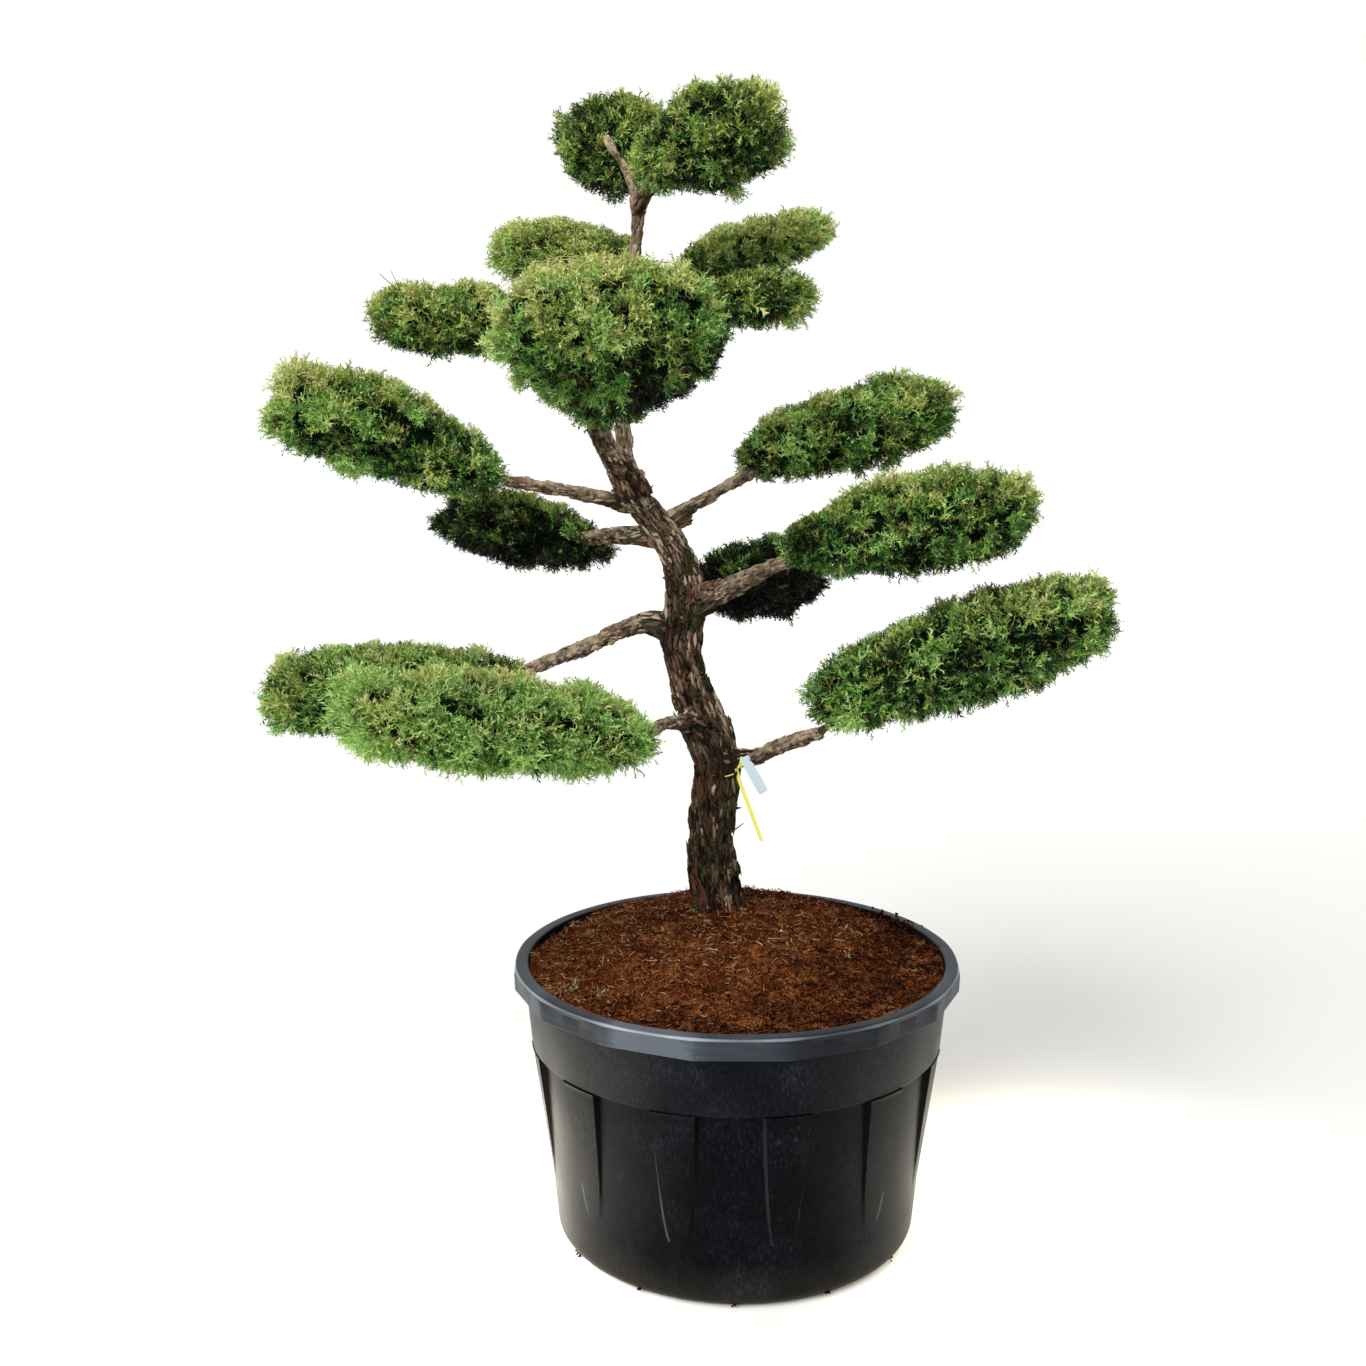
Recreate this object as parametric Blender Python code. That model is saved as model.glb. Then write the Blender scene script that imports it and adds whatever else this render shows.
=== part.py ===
# A cloud pruned juniper in its nursery pot. Metres, +Z up. The origin is the
# centre of the pot's flat underside, and the tree is looked at along +Y.
import bpy
import bmesh
import math
import random
from mathutils import Matrix, Vector, geometry, noise

CLEAR = 0.0003

# Pot: a turned shell with a panelled collar, V-shaped buttresses and drain holes.
POT_RIM_RADIUS = 0.3545
POT_HEIGHT = 0.446
POT_MOUTH_RADIUS = 0.3275
COLLAR_DROP = 0.0375
COLLAR_FOOT_RADIUS = 0.3435
LIP_RADIUS = 0.3450
LIP_DROP = 0.004
COLLAR_PANELS = 16
COLLAR_CREASE = math.radians(-10.5)
BAND_TOP_RADIUS = 0.3325
BAND_FOOT_RADIUS = 0.3234
BAND_FOOT = 0.318
WALL_TOP_RADIUS = 0.3130
WALL_TOP = 0.315
WALL_FOOT_RADIUS = 0.2865
CORNER_RADIUS = 0.025
WALL = 0.005
POT_STEPS = 48
BUTTRESSES = 12
BUTTRESS_START = math.radians(-17)
BUTTRESS_TOP_SPREAD = math.radians(7)
BUTTRESS_FOOT_SPREAD = math.radians(1.8)
BUTTRESS_FOOT = 0.095
HOLES = 12
HOLE_START = math.radians(-2)
HOLE_RADIUS = 0.0055

# Peat: level with the lip at the wall, and heaped over the root ball.
PEAT_STEPS = 24
PEAT_EDGE = 0.434
PEAT_SHOULDER = 0.466
PEAT_TOP = 0.495
HEAP_CENTRE = (0.0, 0.060)
HEAP_RADIUS = 0.205
SEAT_RADIUS = 0.052

# Trunk and leader: x, y, z and radius at each bend, from the flat cut at the peat.
TRUNK = (
    (-0.024, 0.100, PEAT_TOP + CLEAR, 0.0390),
    (-0.034, 0.098, 0.560, 0.0355),
    (-0.037, 0.095, 0.638, 0.0340),
    (-0.030, 0.088, 0.735, 0.0362),
    (-0.052, 0.082, 0.805, 0.0335),
    (-0.075, 0.076, 0.868, 0.0305),
    (-0.089, 0.068, 0.949, 0.0305),
    (-0.081, 0.061, 1.005, 0.0318),
    (-0.087, 0.056, 1.052, 0.0262),
    (-0.104, 0.052, 1.098, 0.0240),
    (-0.131, 0.050, 1.135, 0.0230),
    (-0.157, 0.050, 1.168, 0.0195),
    (-0.166, 0.052, 1.210, 0.0122),
    (-0.179, 0.059, 1.300, 0.0112),
    (-0.168, 0.065, 1.418, 0.0103),
    (-0.155, 0.061, 1.540, 0.0096),
    (-0.153, 0.060, 1.604, 0.0086),
    (-0.166, 0.060, 1.648, 0.0064),
    (-0.186, 0.057, 1.676, 0.0052),
    (-0.198, 0.062, 1.700, 0.0044),
)
FLARE = 0.008
FLARE_HEIGHT = 0.045
TRUNK_SIDES = 10
BOUGH_SIDES = 7
TRUNK_SPACING = 0.048
BOUGH_SPACING = 0.034
STEM_SIDES = 5
COLLAR_LENGTH = 0.014
COLLAR_SWELL = 1.3
STUB = ((-0.118, 0.046, 1.122), (-0.076, 0.040, 1.131), 0.0075)

# Boughs: the height where each leaves the trunk, the bends up to the point where it
# enters its mass of foliage, and its radius at both ends.
BOUGHS = {
    "low_left_front": (0.806, ((-0.112, 0.010, 0.818), (-0.150, -0.050, 0.806)), 0.0098, 0.0082),
    "low_left_back": (
        0.956,
        ((-0.147, 0.064, 0.968), (-0.225, 0.060, 0.936), (-0.338, 0.062, 0.889)),
        0.0155,
        0.0095,
    ),
    "left_dark": (1.106, ((-0.199, 0.100, 1.101), (-0.262, 0.142, 1.091)), 0.0140, 0.0104),
    "left_long": (
        1.152,
        ((-0.220, 0.030, 1.169), (-0.290, 0.005, 1.184), (-0.350, -0.016, 1.196)),
        0.0102,
        0.0086,
    ),
    "left_upper": (1.345, ((-0.240, 0.042, 1.392), (-0.330, 0.034, 1.424)), 0.0085, 0.0062),
    "back_left_upper": (1.392, ((-0.194, 0.104, 1.450), (-0.222, 0.138, 1.496)), 0.0085, 0.0064),
    "right_C": (
        0.744,
        ((0.030, 0.054, 0.755), (0.078, 0.034, 0.782), (0.130, 0.010, 0.803)),
        0.0116,
        0.0103,
    ),
    "right_B": (
        0.994,
        ((-0.015, 0.032, 1.027), (0.040, -0.002, 1.058), (0.078, -0.022, 1.077)),
        0.0190,
        0.0105,
    ),
    "right_back": (0.983, ((-0.045, 0.112, 0.996), (0.000, 0.170, 1.003)), 0.0120, 0.0085),
    "right_A": (
        1.122,
        ((-0.065, 0.057, 1.154), (-0.010, 0.067, 1.185), (0.040, 0.077, 1.207)),
        0.0095,
        0.0076,
    ),
    "right_upper": (1.358, ((-0.122, 0.052, 1.408), (-0.080, 0.040, 1.438)), 0.0080, 0.0062),
    "right_upper_back": (1.424, ((-0.128, 0.100, 1.478), (-0.088, 0.130, 1.508)), 0.0080, 0.0062),
    "front_centre": (
        1.166,
        ((-0.176, 0.026, 1.206), (-0.198, -0.012, 1.246), (-0.210, -0.044, 1.278)),
        0.0190,
        0.0150,
    ),
    "crown_right": (1.588, ((-0.141, 0.046, 1.614), (-0.118, 0.026, 1.629)), 0.0072, 0.0056),
}

# Foliage masses: the two ends of each long cushion, its half width, half thickness and
# upward bow, and how full it is at the end where the bough comes in.
MASSES = {
    "crown_left": ((-0.190, 0.084, 1.610), (-0.196, 0.176, 1.768), 0.096, 0.064, 0.0, 0.45),
    "crown_right": ((-0.154, -0.018, 1.650), (0.053, -0.090, 1.706), 0.090, 0.081, 0.004, 0.6),
    "back_left_upper": ((-0.168, 0.116, 1.530), (-0.380, 0.320, 1.549), 0.082, 0.051, 0.004, 0.8),
    "left_upper": ((-0.316, 0.034, 1.425), (-0.556, 0.046, 1.433), 0.080, 0.060, 0.004, 0.8),
    "front_centre": ((-0.193, -0.066, 1.284), (-0.180, -0.340, 1.468), 0.172, 0.086, 0.010, 0.45),
    "right_upper_back": ((-0.092, 0.124, 1.510), (0.146, 0.290, 1.588), 0.082, 0.047, 0.0, 0.75),
    "right_upper": ((-0.092, 0.036, 1.452), (0.110, 0.004, 1.467), 0.076, 0.046, 0.002, 0.8),
    "left_long": ((-0.350, -0.016, 1.190), (-0.690, -0.064, 1.318), 0.104, 0.078, 0.014, 0.62),
    "left_dark": ((-0.202, 0.120, 1.072), (-0.482, 0.300, 1.120), 0.100, 0.060, 0.002, 0.7),
    "right_A": ((-0.010, 0.074, 1.216), (0.343, 0.126, 1.306), 0.100, 0.069, 0.006, 0.7),
    "right_B": ((0.056, -0.016, 1.092), (0.437, -0.062, 1.162), 0.110, 0.077, 0.004, 0.65),
    "right_back": ((-0.022, 0.170, 1.008), (0.108, 0.464, 0.992), 0.104, 0.070, 0.008, 0.85),
    "right_C": ((0.108, 0.012, 0.846), (0.550, -0.094, 1.020), 0.116, 0.085, 0.0, 0.82),
    "low_left_back": ((-0.330, 0.062, 0.876), (-0.772, 0.142, 0.835), 0.106, 0.074, 0.004, 0.72),
    "low_left_front": ((-0.130, -0.052, 0.806), (-0.566, -0.268, 0.902), 0.108, 0.076, 0.0, 0.88),
}
FRINGE = 0.010
BLUNTNESS = 3.0
CORE_RINGS = 8
CORE_SIDES = 9
LUMP_SIZE = 0.075
LUMP_SHARE = 0.16
SPRAY_AREA = 0.0120
FORWARD = 0.25
UPWARD = 0.2
BELTS = 200
TWIG_ROOT_RADIUS = 0.0035
TWIG_TIP_RADIUS = 0.0018
SPRAY_LENGTH = 0.075
SPRAY_WIDTH = 0.060
SPRAY_THICKNESS = 0.0045
SPRAY_SUNK = 0.022
SPRAY_SHORTEST = 0.009
SPRAY_TEETH = (
    (0, 0),
    (0.50, -0.8),
    (0.86, -1.0),
    (0.70, -0.45),
    (1.0, 0.05),
    (0.74, 0.42),
    (0.90, 0.95),
    (0.46, 0.75),
)
LIMB_CLEAR = 0.004
SLEEVE = 0.0010
TRUNK_SLEEVE = 1.2
GOLDEN_TURN = math.pi * (3 - math.sqrt(5))

# Label: a tie round the trunk, with a strip that hangs from it, and a blank tag. The
# strip's bends are measured from where it crosses the band.
TIE_HEIGHT = 0.722
TIE_TILT = math.radians(-10)
TIE_RADIUS = 0.0012
TIE_STEPS = 16
CROSSING = math.radians(-38)
STRIP = ((0.008, -0.0150, 0.030), (0.005, -0.0145, 0.014), (0, 0, 0), (0.039, -0.024, -0.106))
STRIP_WIDTH = 0.0045
STRIP_THICKNESS = 0.0012
KNOT_RADIUS = 0.0042
TAG_LENGTH = 0.066
TAG_WIDTH = 0.016
TAG_THICKNESS = 0.0011
TAG_LEAN = math.radians(29)


def clear_scene():
    for item in list(bpy.data.objects):
        bpy.data.objects.remove(item, do_unlink=True)


def material(name, colour, roughness):
    made = bpy.data.materials.new(name)
    made.use_nodes = True
    shader = made.node_tree.nodes["Principled BSDF"]
    linear = [((c + 0.055) / 1.055) ** 2.4 if c > 0.04045 else c / 12.92 for c in colour]
    shader.inputs["Base Color"].default_value = (*linear, 1)
    shader.inputs["Roughness"].default_value = roughness
    made.diffuse_color = (*linear, 1)
    return made


def new_object(name, bm, finish, crease=40):
    bmesh.ops.recalc_face_normals(bm, faces=bm.faces)
    mesh = bpy.data.meshes.new(name)
    bm.to_mesh(mesh)
    bm.free()
    mesh.materials.append(finish)
    mesh.shade_smooth()
    mesh.set_sharp_from_angle(angle=math.radians(crease))
    made = bpy.data.objects.new(name, mesh)
    bpy.context.scene.collection.objects.link(made)
    return made


def bake_modifiers(piece):
    """Keeps the shape that the modifiers give, and removes what they used."""
    used = [m.collection for m in piece.modifiers if m.collection]
    used_objects = [m.object for m in piece.modifiers if m.object]
    bpy.context.view_layer.update()
    graph = bpy.context.evaluated_depsgraph_get()
    piece.data = bpy.data.meshes.new_from_object(piece.evaluated_get(graph))
    piece.modifiers.clear()
    for group in used:
        used_objects.extend(group.objects)
    for item in used_objects:
        bpy.data.objects.remove(item, do_unlink=True)
    for group in used:
        bpy.data.collections.remove(group)


def fuse(piece, others, operation="UNION", solver="EXACT"):
    """One Boolean of the piece with a whole collection of others."""
    group = bpy.data.collections.new(piece.name + "_parts")
    bpy.context.scene.collection.children.link(group)
    for other in others:
        bpy.context.scene.collection.objects.unlink(other)
        group.objects.link(other)
    boolean = piece.modifiers.new("fuse", "BOOLEAN")
    boolean.operation = operation
    boolean.operand_type = "COLLECTION"
    boolean.collection = group
    boolean.solver = solver
    bake_modifiers(piece)


def keep_outer_skin(piece):
    """Drops loose scraps, and the skins of hollows that the fusing sealed."""
    bm = bmesh.new()
    bm.from_mesh(piece.data)
    unseen = set(bm.verts)
    islands = []
    while unseen:
        island = [unseen.pop()]
        for vert in island:
            near = {edge.other_vert(vert) for edge in vert.link_edges} & unseen
            unseen -= near
            island.extend(near)
        islands.append(island)
    islands.sort(key=len)
    scraps = [vert for island in islands[:-1] for vert in island]
    bmesh.ops.delete(bm, geom=scraps, context="VERTS")
    bm.to_mesh(piece.data)
    bm.free()


def turned(profile, steps, start):
    """A closed shape from (radius, height) points, turned about Z from one angle."""
    bm = bmesh.new()
    points = [bm.verts.new((r * math.sin(start), -r * math.cos(start), z)) for r, z in profile]
    lines = [bm.edges.new(pair) for pair in zip(points, points[1:])]
    bmesh.ops.spin(
        bm,
        geom=points + lines,
        cent=(0, 0, 0),
        axis=(0, 0, 1),
        angle=2 * math.pi,
        steps=steps,
        use_merge=True,
    )
    bmesh.ops.remove_doubles(bm, verts=bm.verts, dist=1e-5)
    return bm


def facing(angle, radius, height):
    """A point at an angle from the front, positive to the right."""
    return Vector((radius * math.sin(angle), -radius * math.cos(angle), height))


def hexahedron(bm, lower, upper):
    """A closed box between two loops of four points."""
    low = [bm.verts.new(p) for p in lower]
    high = [bm.verts.new(p) for p in upper]
    bm.faces.new(low)
    bm.faces.new(high)
    for i in range(4):
        bm.faces.new((low[i], low[i - 1], high[i - 1], high[i]))


def wall_radius(height):
    share = (height - CORNER_RADIUS) / (WALL_TOP - CORNER_RADIUS)
    return WALL_FOOT_RADIUS + share * (WALL_TOP_RADIUS - WALL_FOOT_RADIUS)


def corner_points(wall_at, radius, floor, steps):
    """The rounded corner between the wall and the floor, from the wall inwards."""
    points = []
    for i in range(steps + 1):
        turn = math.pi / 2 * i / steps
        points.append(
            (wall_at - radius + radius * math.cos(turn), floor + radius - radius * math.sin(turn))
        )
    return points


def pot_profile():
    outside = [
        (POT_MOUTH_RADIUS + 0.0015, POT_HEIGHT),
        (LIP_RADIUS, POT_HEIGHT),
        (POT_RIM_RADIUS, POT_HEIGHT - LIP_DROP),
        (COLLAR_FOOT_RADIUS, POT_HEIGHT - COLLAR_DROP),
        (BAND_TOP_RADIUS, POT_HEIGHT - COLLAR_DROP),
        (BAND_FOOT_RADIUS, BAND_FOOT),
        (WALL_TOP_RADIUS, WALL_TOP),
    ]
    outside += corner_points(WALL_FOOT_RADIUS, CORNER_RADIUS, 0.0, 3)
    inside = list(reversed(inside_profile()))
    return [*outside, (0, 0), *inside, outside[0]]


def inside_profile():
    """The inner wall from the mouth down to the middle of the floor."""
    return [
        (POT_MOUTH_RADIUS, POT_HEIGHT - 0.003),
        (BAND_FOOT_RADIUS - WALL, BAND_FOOT + WALL),
        (WALL_TOP_RADIUS - WALL, WALL_TOP),
        *corner_points(WALL_FOOT_RADIUS - WALL, CORNER_RADIUS - WALL, WALL, 2),
        (0, WALL),
    ]


def panel_collar(bm):
    """Flattens the collar into straight panels between its creases."""
    step = 2 * math.pi / COLLAR_PANELS
    for vert in bm.verts:
        radius = math.hypot(vert.co.x, vert.co.y)
        if radius < COLLAR_FOOT_RADIUS - 0.001 or vert.co.z > POT_HEIGHT - 0.001:
            continue
        angle = math.atan2(vert.co.x, -vert.co.y) - COLLAR_CREASE
        off_middle = angle % step - step / 2
        shrink = math.cos(step / 2) / math.cos(off_middle)
        vert.co.x *= shrink
        vert.co.y *= shrink


def buttress(number, finish):
    """A long V that fills the step under the band and runs out into the wall."""
    middle = BUTTRESS_START + 2 * math.pi * number / BUTTRESSES
    low_wall = wall_radius(BUTTRESS_FOOT)
    spread = BUTTRESS_FOOT_SPREAD
    lower = [
        facing(middle - spread, low_wall - 0.0035, BUTTRESS_FOOT),
        facing(middle + spread, low_wall - 0.0035, BUTTRESS_FOOT),
        facing(middle + spread, low_wall + 0.0012, BUTTRESS_FOOT),
        facing(middle - spread, low_wall + 0.0012, BUTTRESS_FOOT),
    ]
    spread = BUTTRESS_TOP_SPREAD
    upper = [
        facing(middle - spread, WALL_TOP_RADIUS - 0.0025, WALL_TOP - 0.0005),
        facing(middle + spread, WALL_TOP_RADIUS - 0.0025, WALL_TOP - 0.0005),
        facing(middle + spread, BAND_FOOT_RADIUS - 0.0012, BAND_FOOT + 0.0035),
        facing(middle - spread, BAND_FOOT_RADIUS - 0.0012, BAND_FOOT + 0.0035),
    ]
    bm = bmesh.new()
    hexahedron(bm, lower, upper)
    return new_object(f"buttress_{number}", bm, finish)


def drain_cutter(number, finish):
    angle = HOLE_START + 2 * math.pi * number / HOLES
    slope = Matrix.Rotation(math.radians(135), 4, "X")
    turn = Matrix.Rotation(angle, 4, "Z")
    out = WALL_FOOT_RADIUS - CORNER_RADIUS + CORNER_RADIUS * math.cos(math.pi / 4)
    height = CORNER_RADIUS - CORNER_RADIUS * math.sin(math.pi / 4)
    place = Matrix.Translation(facing(angle, out, height))
    bm = bmesh.new()
    bmesh.ops.create_cone(
        bm,
        cap_ends=True,
        segments=8,
        radius1=HOLE_RADIUS,
        radius2=HOLE_RADIUS,
        depth=0.024,
        matrix=place @ turn @ slope,
    )
    cutter = new_object(f"drain_{number}", bm, finish)
    cutter.display_type = "WIRE"
    return cutter


def make_pot(finish):
    bm = turned(pot_profile(), POT_STEPS, COLLAR_CREASE)
    panel_collar(bm)
    pot = new_object("pot", bm, finish, 30)
    fuse(pot, [buttress(i, finish) for i in range(BUTTRESSES)])
    fuse(pot, [drain_cutter(i, finish) for i in range(HOLES)], "DIFFERENCE")
    return pot


def peat_height(x, y):
    """The heaped root ball, a shoulder round it, and the fall to the pot wall."""
    away = math.hypot(x - HEAP_CENTRE[0], y - HEAP_CENTRE[1])
    if away < HEAP_RADIUS:
        return PEAT_TOP - (PEAT_TOP - PEAT_SHOULDER) * (away / HEAP_RADIUS) ** 2
    beyond = min(1, (away - HEAP_RADIUS) / 0.10)
    ease = beyond * beyond * (3 - 2 * beyond)
    return PEAT_SHOULDER + (PEAT_EDGE - PEAT_SHOULDER) * ease


def make_peat(finish):
    walls = [(r - CLEAR, z + CLEAR) for r, z in inside_profile()[1:-1]]
    mouth = POT_MOUTH_RADIUS - CLEAR - 0.0008
    profile = [(mouth, PEAT_EDGE), *walls, (0, WALL + CLEAR)]
    bm = turned(profile, PEAT_STEPS, COLLAR_CREASE)
    ring = [v for v in bm.verts if v.co.z > PEAT_EDGE - 1e-4]
    ring.sort(key=lambda v: math.atan2(v.co.x, -v.co.y))
    outer = ring
    seat = Vector((TRUNK[0][0], TRUNK[0][1], PEAT_TOP))
    for share in (0.80, 0.55, 0.30, SEAT_RADIUS / mouth):
        inner = []
        for vert in ring:
            flat = Vector((vert.co.x, vert.co.y, 0)) * share
            spot = flat + seat * (1 - share) ** 0.8
            lift = PEAT_TOP if share < 0.2 else peat_height(spot.x, spot.y)
            if 0.2 < share:
                lift += 0.004 * noise.noise(Vector((spot.x, spot.y, 0)) * 22)
            if share < 0.2:
                spot = flat + seat
            inner.append(bm.verts.new((spot.x, spot.y, lift)))
        for i in range(len(ring)):
            bm.faces.new((outer[i - 1], outer[i], inner[i], inner[i - 1]))
        outer = inner
    bm.faces.new(outer)
    return new_object("peat", bm, finish)


def smooth_path(rows, spacing):
    """Points about one spacing apart on a curve through the rows of x, y, z, radius."""
    rows = [Vector(row) for row in rows]
    ends = [2 * rows[0] - rows[1], *rows, 2 * rows[-1] - rows[-2]]
    path = []
    for a, b, c, d in zip(ends, ends[1:], ends[2:], ends[3:]):
        steps = max(1, round((c - b).xyz.length / spacing))
        for i in range(steps):
            t = i / steps
            curve = (2 * b) + (c - a) * t + (2 * a - 5 * b + 4 * c - d) * t * t
            path.append((curve + (3 * b - a - 3 * c + d) * t**3) / 2)
    return [*path, rows[-1]]


def lengths_along(path):
    total = [0.0]
    for a, b in zip(path, path[1:]):
        total.append(total[-1] + (b - a).xyz.length)
    return total


def point_at(path, total, distance):
    for i in range(1, len(path)):
        if total[i] >= distance:
            share = (distance - total[i - 1]) / (total[i] - total[i - 1])
            return path[i - 1].lerp(path[i], share)
    return path[-1].copy()


def heading_at(path, distance):
    total = lengths_along(path)
    ahead = point_at(path, total, min(total[-1], distance + 0.003))
    behind = point_at(path, total, max(0, distance - 0.003))
    return (ahead - behind).xyz.normalized()


def stretch(path, start, end, spacing):
    """Evenly spaced points of the path between two distances along it."""
    total = lengths_along(path)
    steps = max(1, round((end - start) / spacing))
    return [point_at(path, total, start + (end - start) * i / steps) for i in range(steps + 1)]


def ring_frames(path, first=None, last=None):
    """Two directions across the path at each point, carried along without a twist."""
    frames = []
    side = None
    for i in range(len(path)):
        ahead = path[min(i + 1, len(path) - 1)].xyz
        behind = path[max(i - 1, 0)].xyz
        along = (ahead - behind).normalized()
        if i == 0 and first:
            along = first
        if i == len(path) - 1 and last:
            along = last
        side = side or along.orthogonal()
        side = (side - along * side.dot(along)).normalized()
        frames.append((side, along.cross(side)))
    return frames


def add_limb(bm, path, sides, first=None, last=None, fluting=None):
    """A closed tapering tube whose flat ends face the first and last directions."""
    rings = []
    for point, (side, across) in zip(path, ring_frames(path, first, last)):
        ring = []
        for k in range(sides):
            turn = 2 * math.pi * k / sides
            radius = point.w * (fluting(turn, point) if fluting else 1)
            out = math.cos(turn) * side + math.sin(turn) * across
            ring.append(bm.verts.new(point.xyz + radius * out))
        rings.append(ring)
    for low, high in zip(rings, rings[1:]):
        for k in range(sides):
            bm.faces.new((low[k - 1], low[k], high[k], high[k - 1]))
    bm.faces.new(rings[0])
    bm.faces.new(rings[-1])


def trunk_fluting(turn, point):
    """Root flare at the foot, and shallow ridges that fade towards the leader."""
    above = point.z - TRUNK[0][2]
    flare = FLARE * math.exp(-above / FLARE_HEIGHT) / point.w
    ridges = 0.05 * math.cos(3 * turn + 9 * point.z) * min(1, point.w / 0.03)
    return 1 + flare * (1 + 0.5 * math.cos(4 * turn + 0.6)) + ridges


def trunk_at(path, height):
    for low, high in zip(path, path[1:]):
        if low.z <= height <= high.z:
            return low.lerp(high, (height - low.z) / (high.z - low.z))
    return path[-1].copy()


def clear_of_trunk(route, total, trunk):
    """How far along its route a bough has cleared the trunk by the collar's length."""
    distance = 0.0
    while distance < total[-1]:
        spot = point_at(route, total, distance)
        near = min(trunk, key=lambda p: (p.xyz - spot.xyz).length)
        if (near.xyz - spot.xyz).length > near.w * 1.12 + COLLAR_LENGTH:
            break
        distance += 0.002
    return distance


def bough_route(name, trunk):
    """The bough's whole curve, from the trunk's axis to where it enters its mass."""
    height, bends, root, tip = BOUGHS[name]
    start = trunk_at(trunk, height)
    points = [start.xyz, *(Vector(b) for b in bends)]
    reach = [0.0]
    for a, b in zip(points, points[1:]):
        reach.append(reach[-1] + (b - a).length)
    rows = [(*p, root + (tip - root) * r / reach[-1]) for p, r in zip(points, reach)]
    return smooth_path(rows, 0.012)


def make_trunk(trunk, routes, finish):
    """The trunk and leader with the collar of each bough and one pruned stub; gives the
    sleeve that goes round it."""
    length = lengths_along(trunk)[-1]
    rows = stretch(trunk, 0, length, TRUNK_SPACING)
    first = Vector((0, 0, 1))
    last = heading_at(trunk, length)
    bm = bmesh.new()
    add_limb(bm, rows, TRUNK_SIDES, first, last, trunk_fluting)
    body = new_object("trunk", bm, finish, 60)
    collars = []
    for name, (route, split) in routes.items():
        collar = stretch(route, 0, split, 0.022)
        for i, row in enumerate(collar):
            row.w *= COLLAR_SWELL + (1 - COLLAR_SWELL) * i / (len(collar) - 1)
        bm = bmesh.new()
        add_limb(bm, collar, BOUGH_SIDES, last=heading_at(route, split))
        collars.append(new_object("collar_" + name, bm, finish))
    bm = bmesh.new()
    foot, end, radius = STUB
    add_limb(bm, [Vector((*foot, radius * 1.5)), Vector((*end, radius))], 7)
    collars.append(new_object("pruned_stub", bm, finish))
    fuse(body, collars)
    return sleeve("trunk", rows, first, last, TRUNK_SLEEVE)


def sleeve(name, rows, first, last, share):
    """The rows of a limb made wider and a little longer, for cutting a core clear of it."""
    wider = [Vector((*row.xyz, row.w * share + SLEEVE)) for row in rows]
    beyond = rows[-1].xyz + last * (CLEAR + 0.0001)
    wider[-1] = Vector((*beyond, wider[-1].w))
    return name, wider, first, last


def make_bough(name, route, split, finish):
    """One tapering limb beyond its collar; gives the sleeve that goes round it."""
    end = lengths_along(route)[-1]
    rows = stretch(route, split + CLEAR, end, BOUGH_SPACING)
    first = heading_at(route, split)
    last = heading_at(route, end)
    bm = bmesh.new()
    add_limb(bm, rows, BOUGH_SIDES, first=first, last=last)
    new_object("bough_" + name, bm, finish, 60)
    return sleeve(name, rows, first, last, 1.0)


class Mass:
    """The space of one clipped mass: a long cushion round a slightly bowed line."""

    def __init__(self, name):
        heel, tip, self.width, self.thick, self.bow, self.heel_share = MASSES[name]
        self.name = name
        self.heel = Vector(heel)
        self.tip = Vector(tip)
        self.length = (self.tip - self.heel).length
        self.along = (self.tip - self.heel).normalized()
        self.side = self.along.cross(Vector((0, 0, 1))).normalized()
        self.lift = self.side.cross(self.along).normalized()
        self.seed = sum(ord(letter) * (i + 1) for i, letter in enumerate(name))
        self.shift = Vector((self.seed % 17, self.seed % 23, self.seed % 31))

    def line(self, u):
        return self.heel.lerp(self.tip, u) + self.lift * (self.bow * 4 * u * (1 - u))

    def girth(self, u):
        """The half size before the ends are rounded: narrower at the heel."""
        grow = min(1, max(0, u) / 0.65)
        ease = grow * grow * (3 - 2 * grow)
        return self.heel_share + (1 - self.heel_share) * ease

    def fullness(self, u):
        """Half size at a share of the length, with blunt ends."""
        return max(0.0, 1 - abs(2 * u - 1) ** BLUNTNESS) ** (1 / BLUNTNESS) * self.girth(u)

    def lumps(self, u, turn):
        spot = Vector((u * self.length, math.cos(turn) * self.width, math.sin(turn) * self.thick))
        return 1 + LUMP_SHARE * noise.noise(spot / LUMP_SIZE + self.shift)

    def surface(self, u, turn, inset=0.0):
        """A point of the outline, or of the same shape that much smaller."""
        trim = inset / self.length
        place = trim + u * (1 - 2 * trim)
        full = self.fullness(u) * self.lumps(u, turn)
        across = math.cos(turn) * (self.width - inset) * full
        up = math.sin(turn) * (self.thick - inset) * full
        return self.line(place) + self.side * across + self.lift * up

    def share_along(self, point):
        return (point - self.heel).dot(self.along) / self.length

    def level(self, point):
        """Below 1 inside the outline, and above 1 outside it."""
        u = self.share_along(point)
        off = point - self.line(u)
        across = off.dot(self.side) / self.width
        up = off.dot(self.lift) / self.thick
        turn = math.atan2(up, across)
        ratio = math.hypot(across, up) / (self.girth(u) * self.lumps(u, turn))
        return (abs(2 * u - 1) ** BLUNTNESS + ratio**BLUNTNESS) ** (1 / BLUNTNESS)

    def belts(self):
        """Narrow belts of the outline from heel to tip: middle, area and slope."""
        size = (self.width + self.thick) / 2
        for i in range(BELTS):
            low = self.fullness(i / BELTS) * size
            high = self.fullness((i + 1) / BELTS) * size
            run = self.length / BELTS
            area = math.pi * (low + high) * math.hypot(run, high - low)
            yield (i + 0.5) / BELTS, area, math.atan2(low - high, run)


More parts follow.
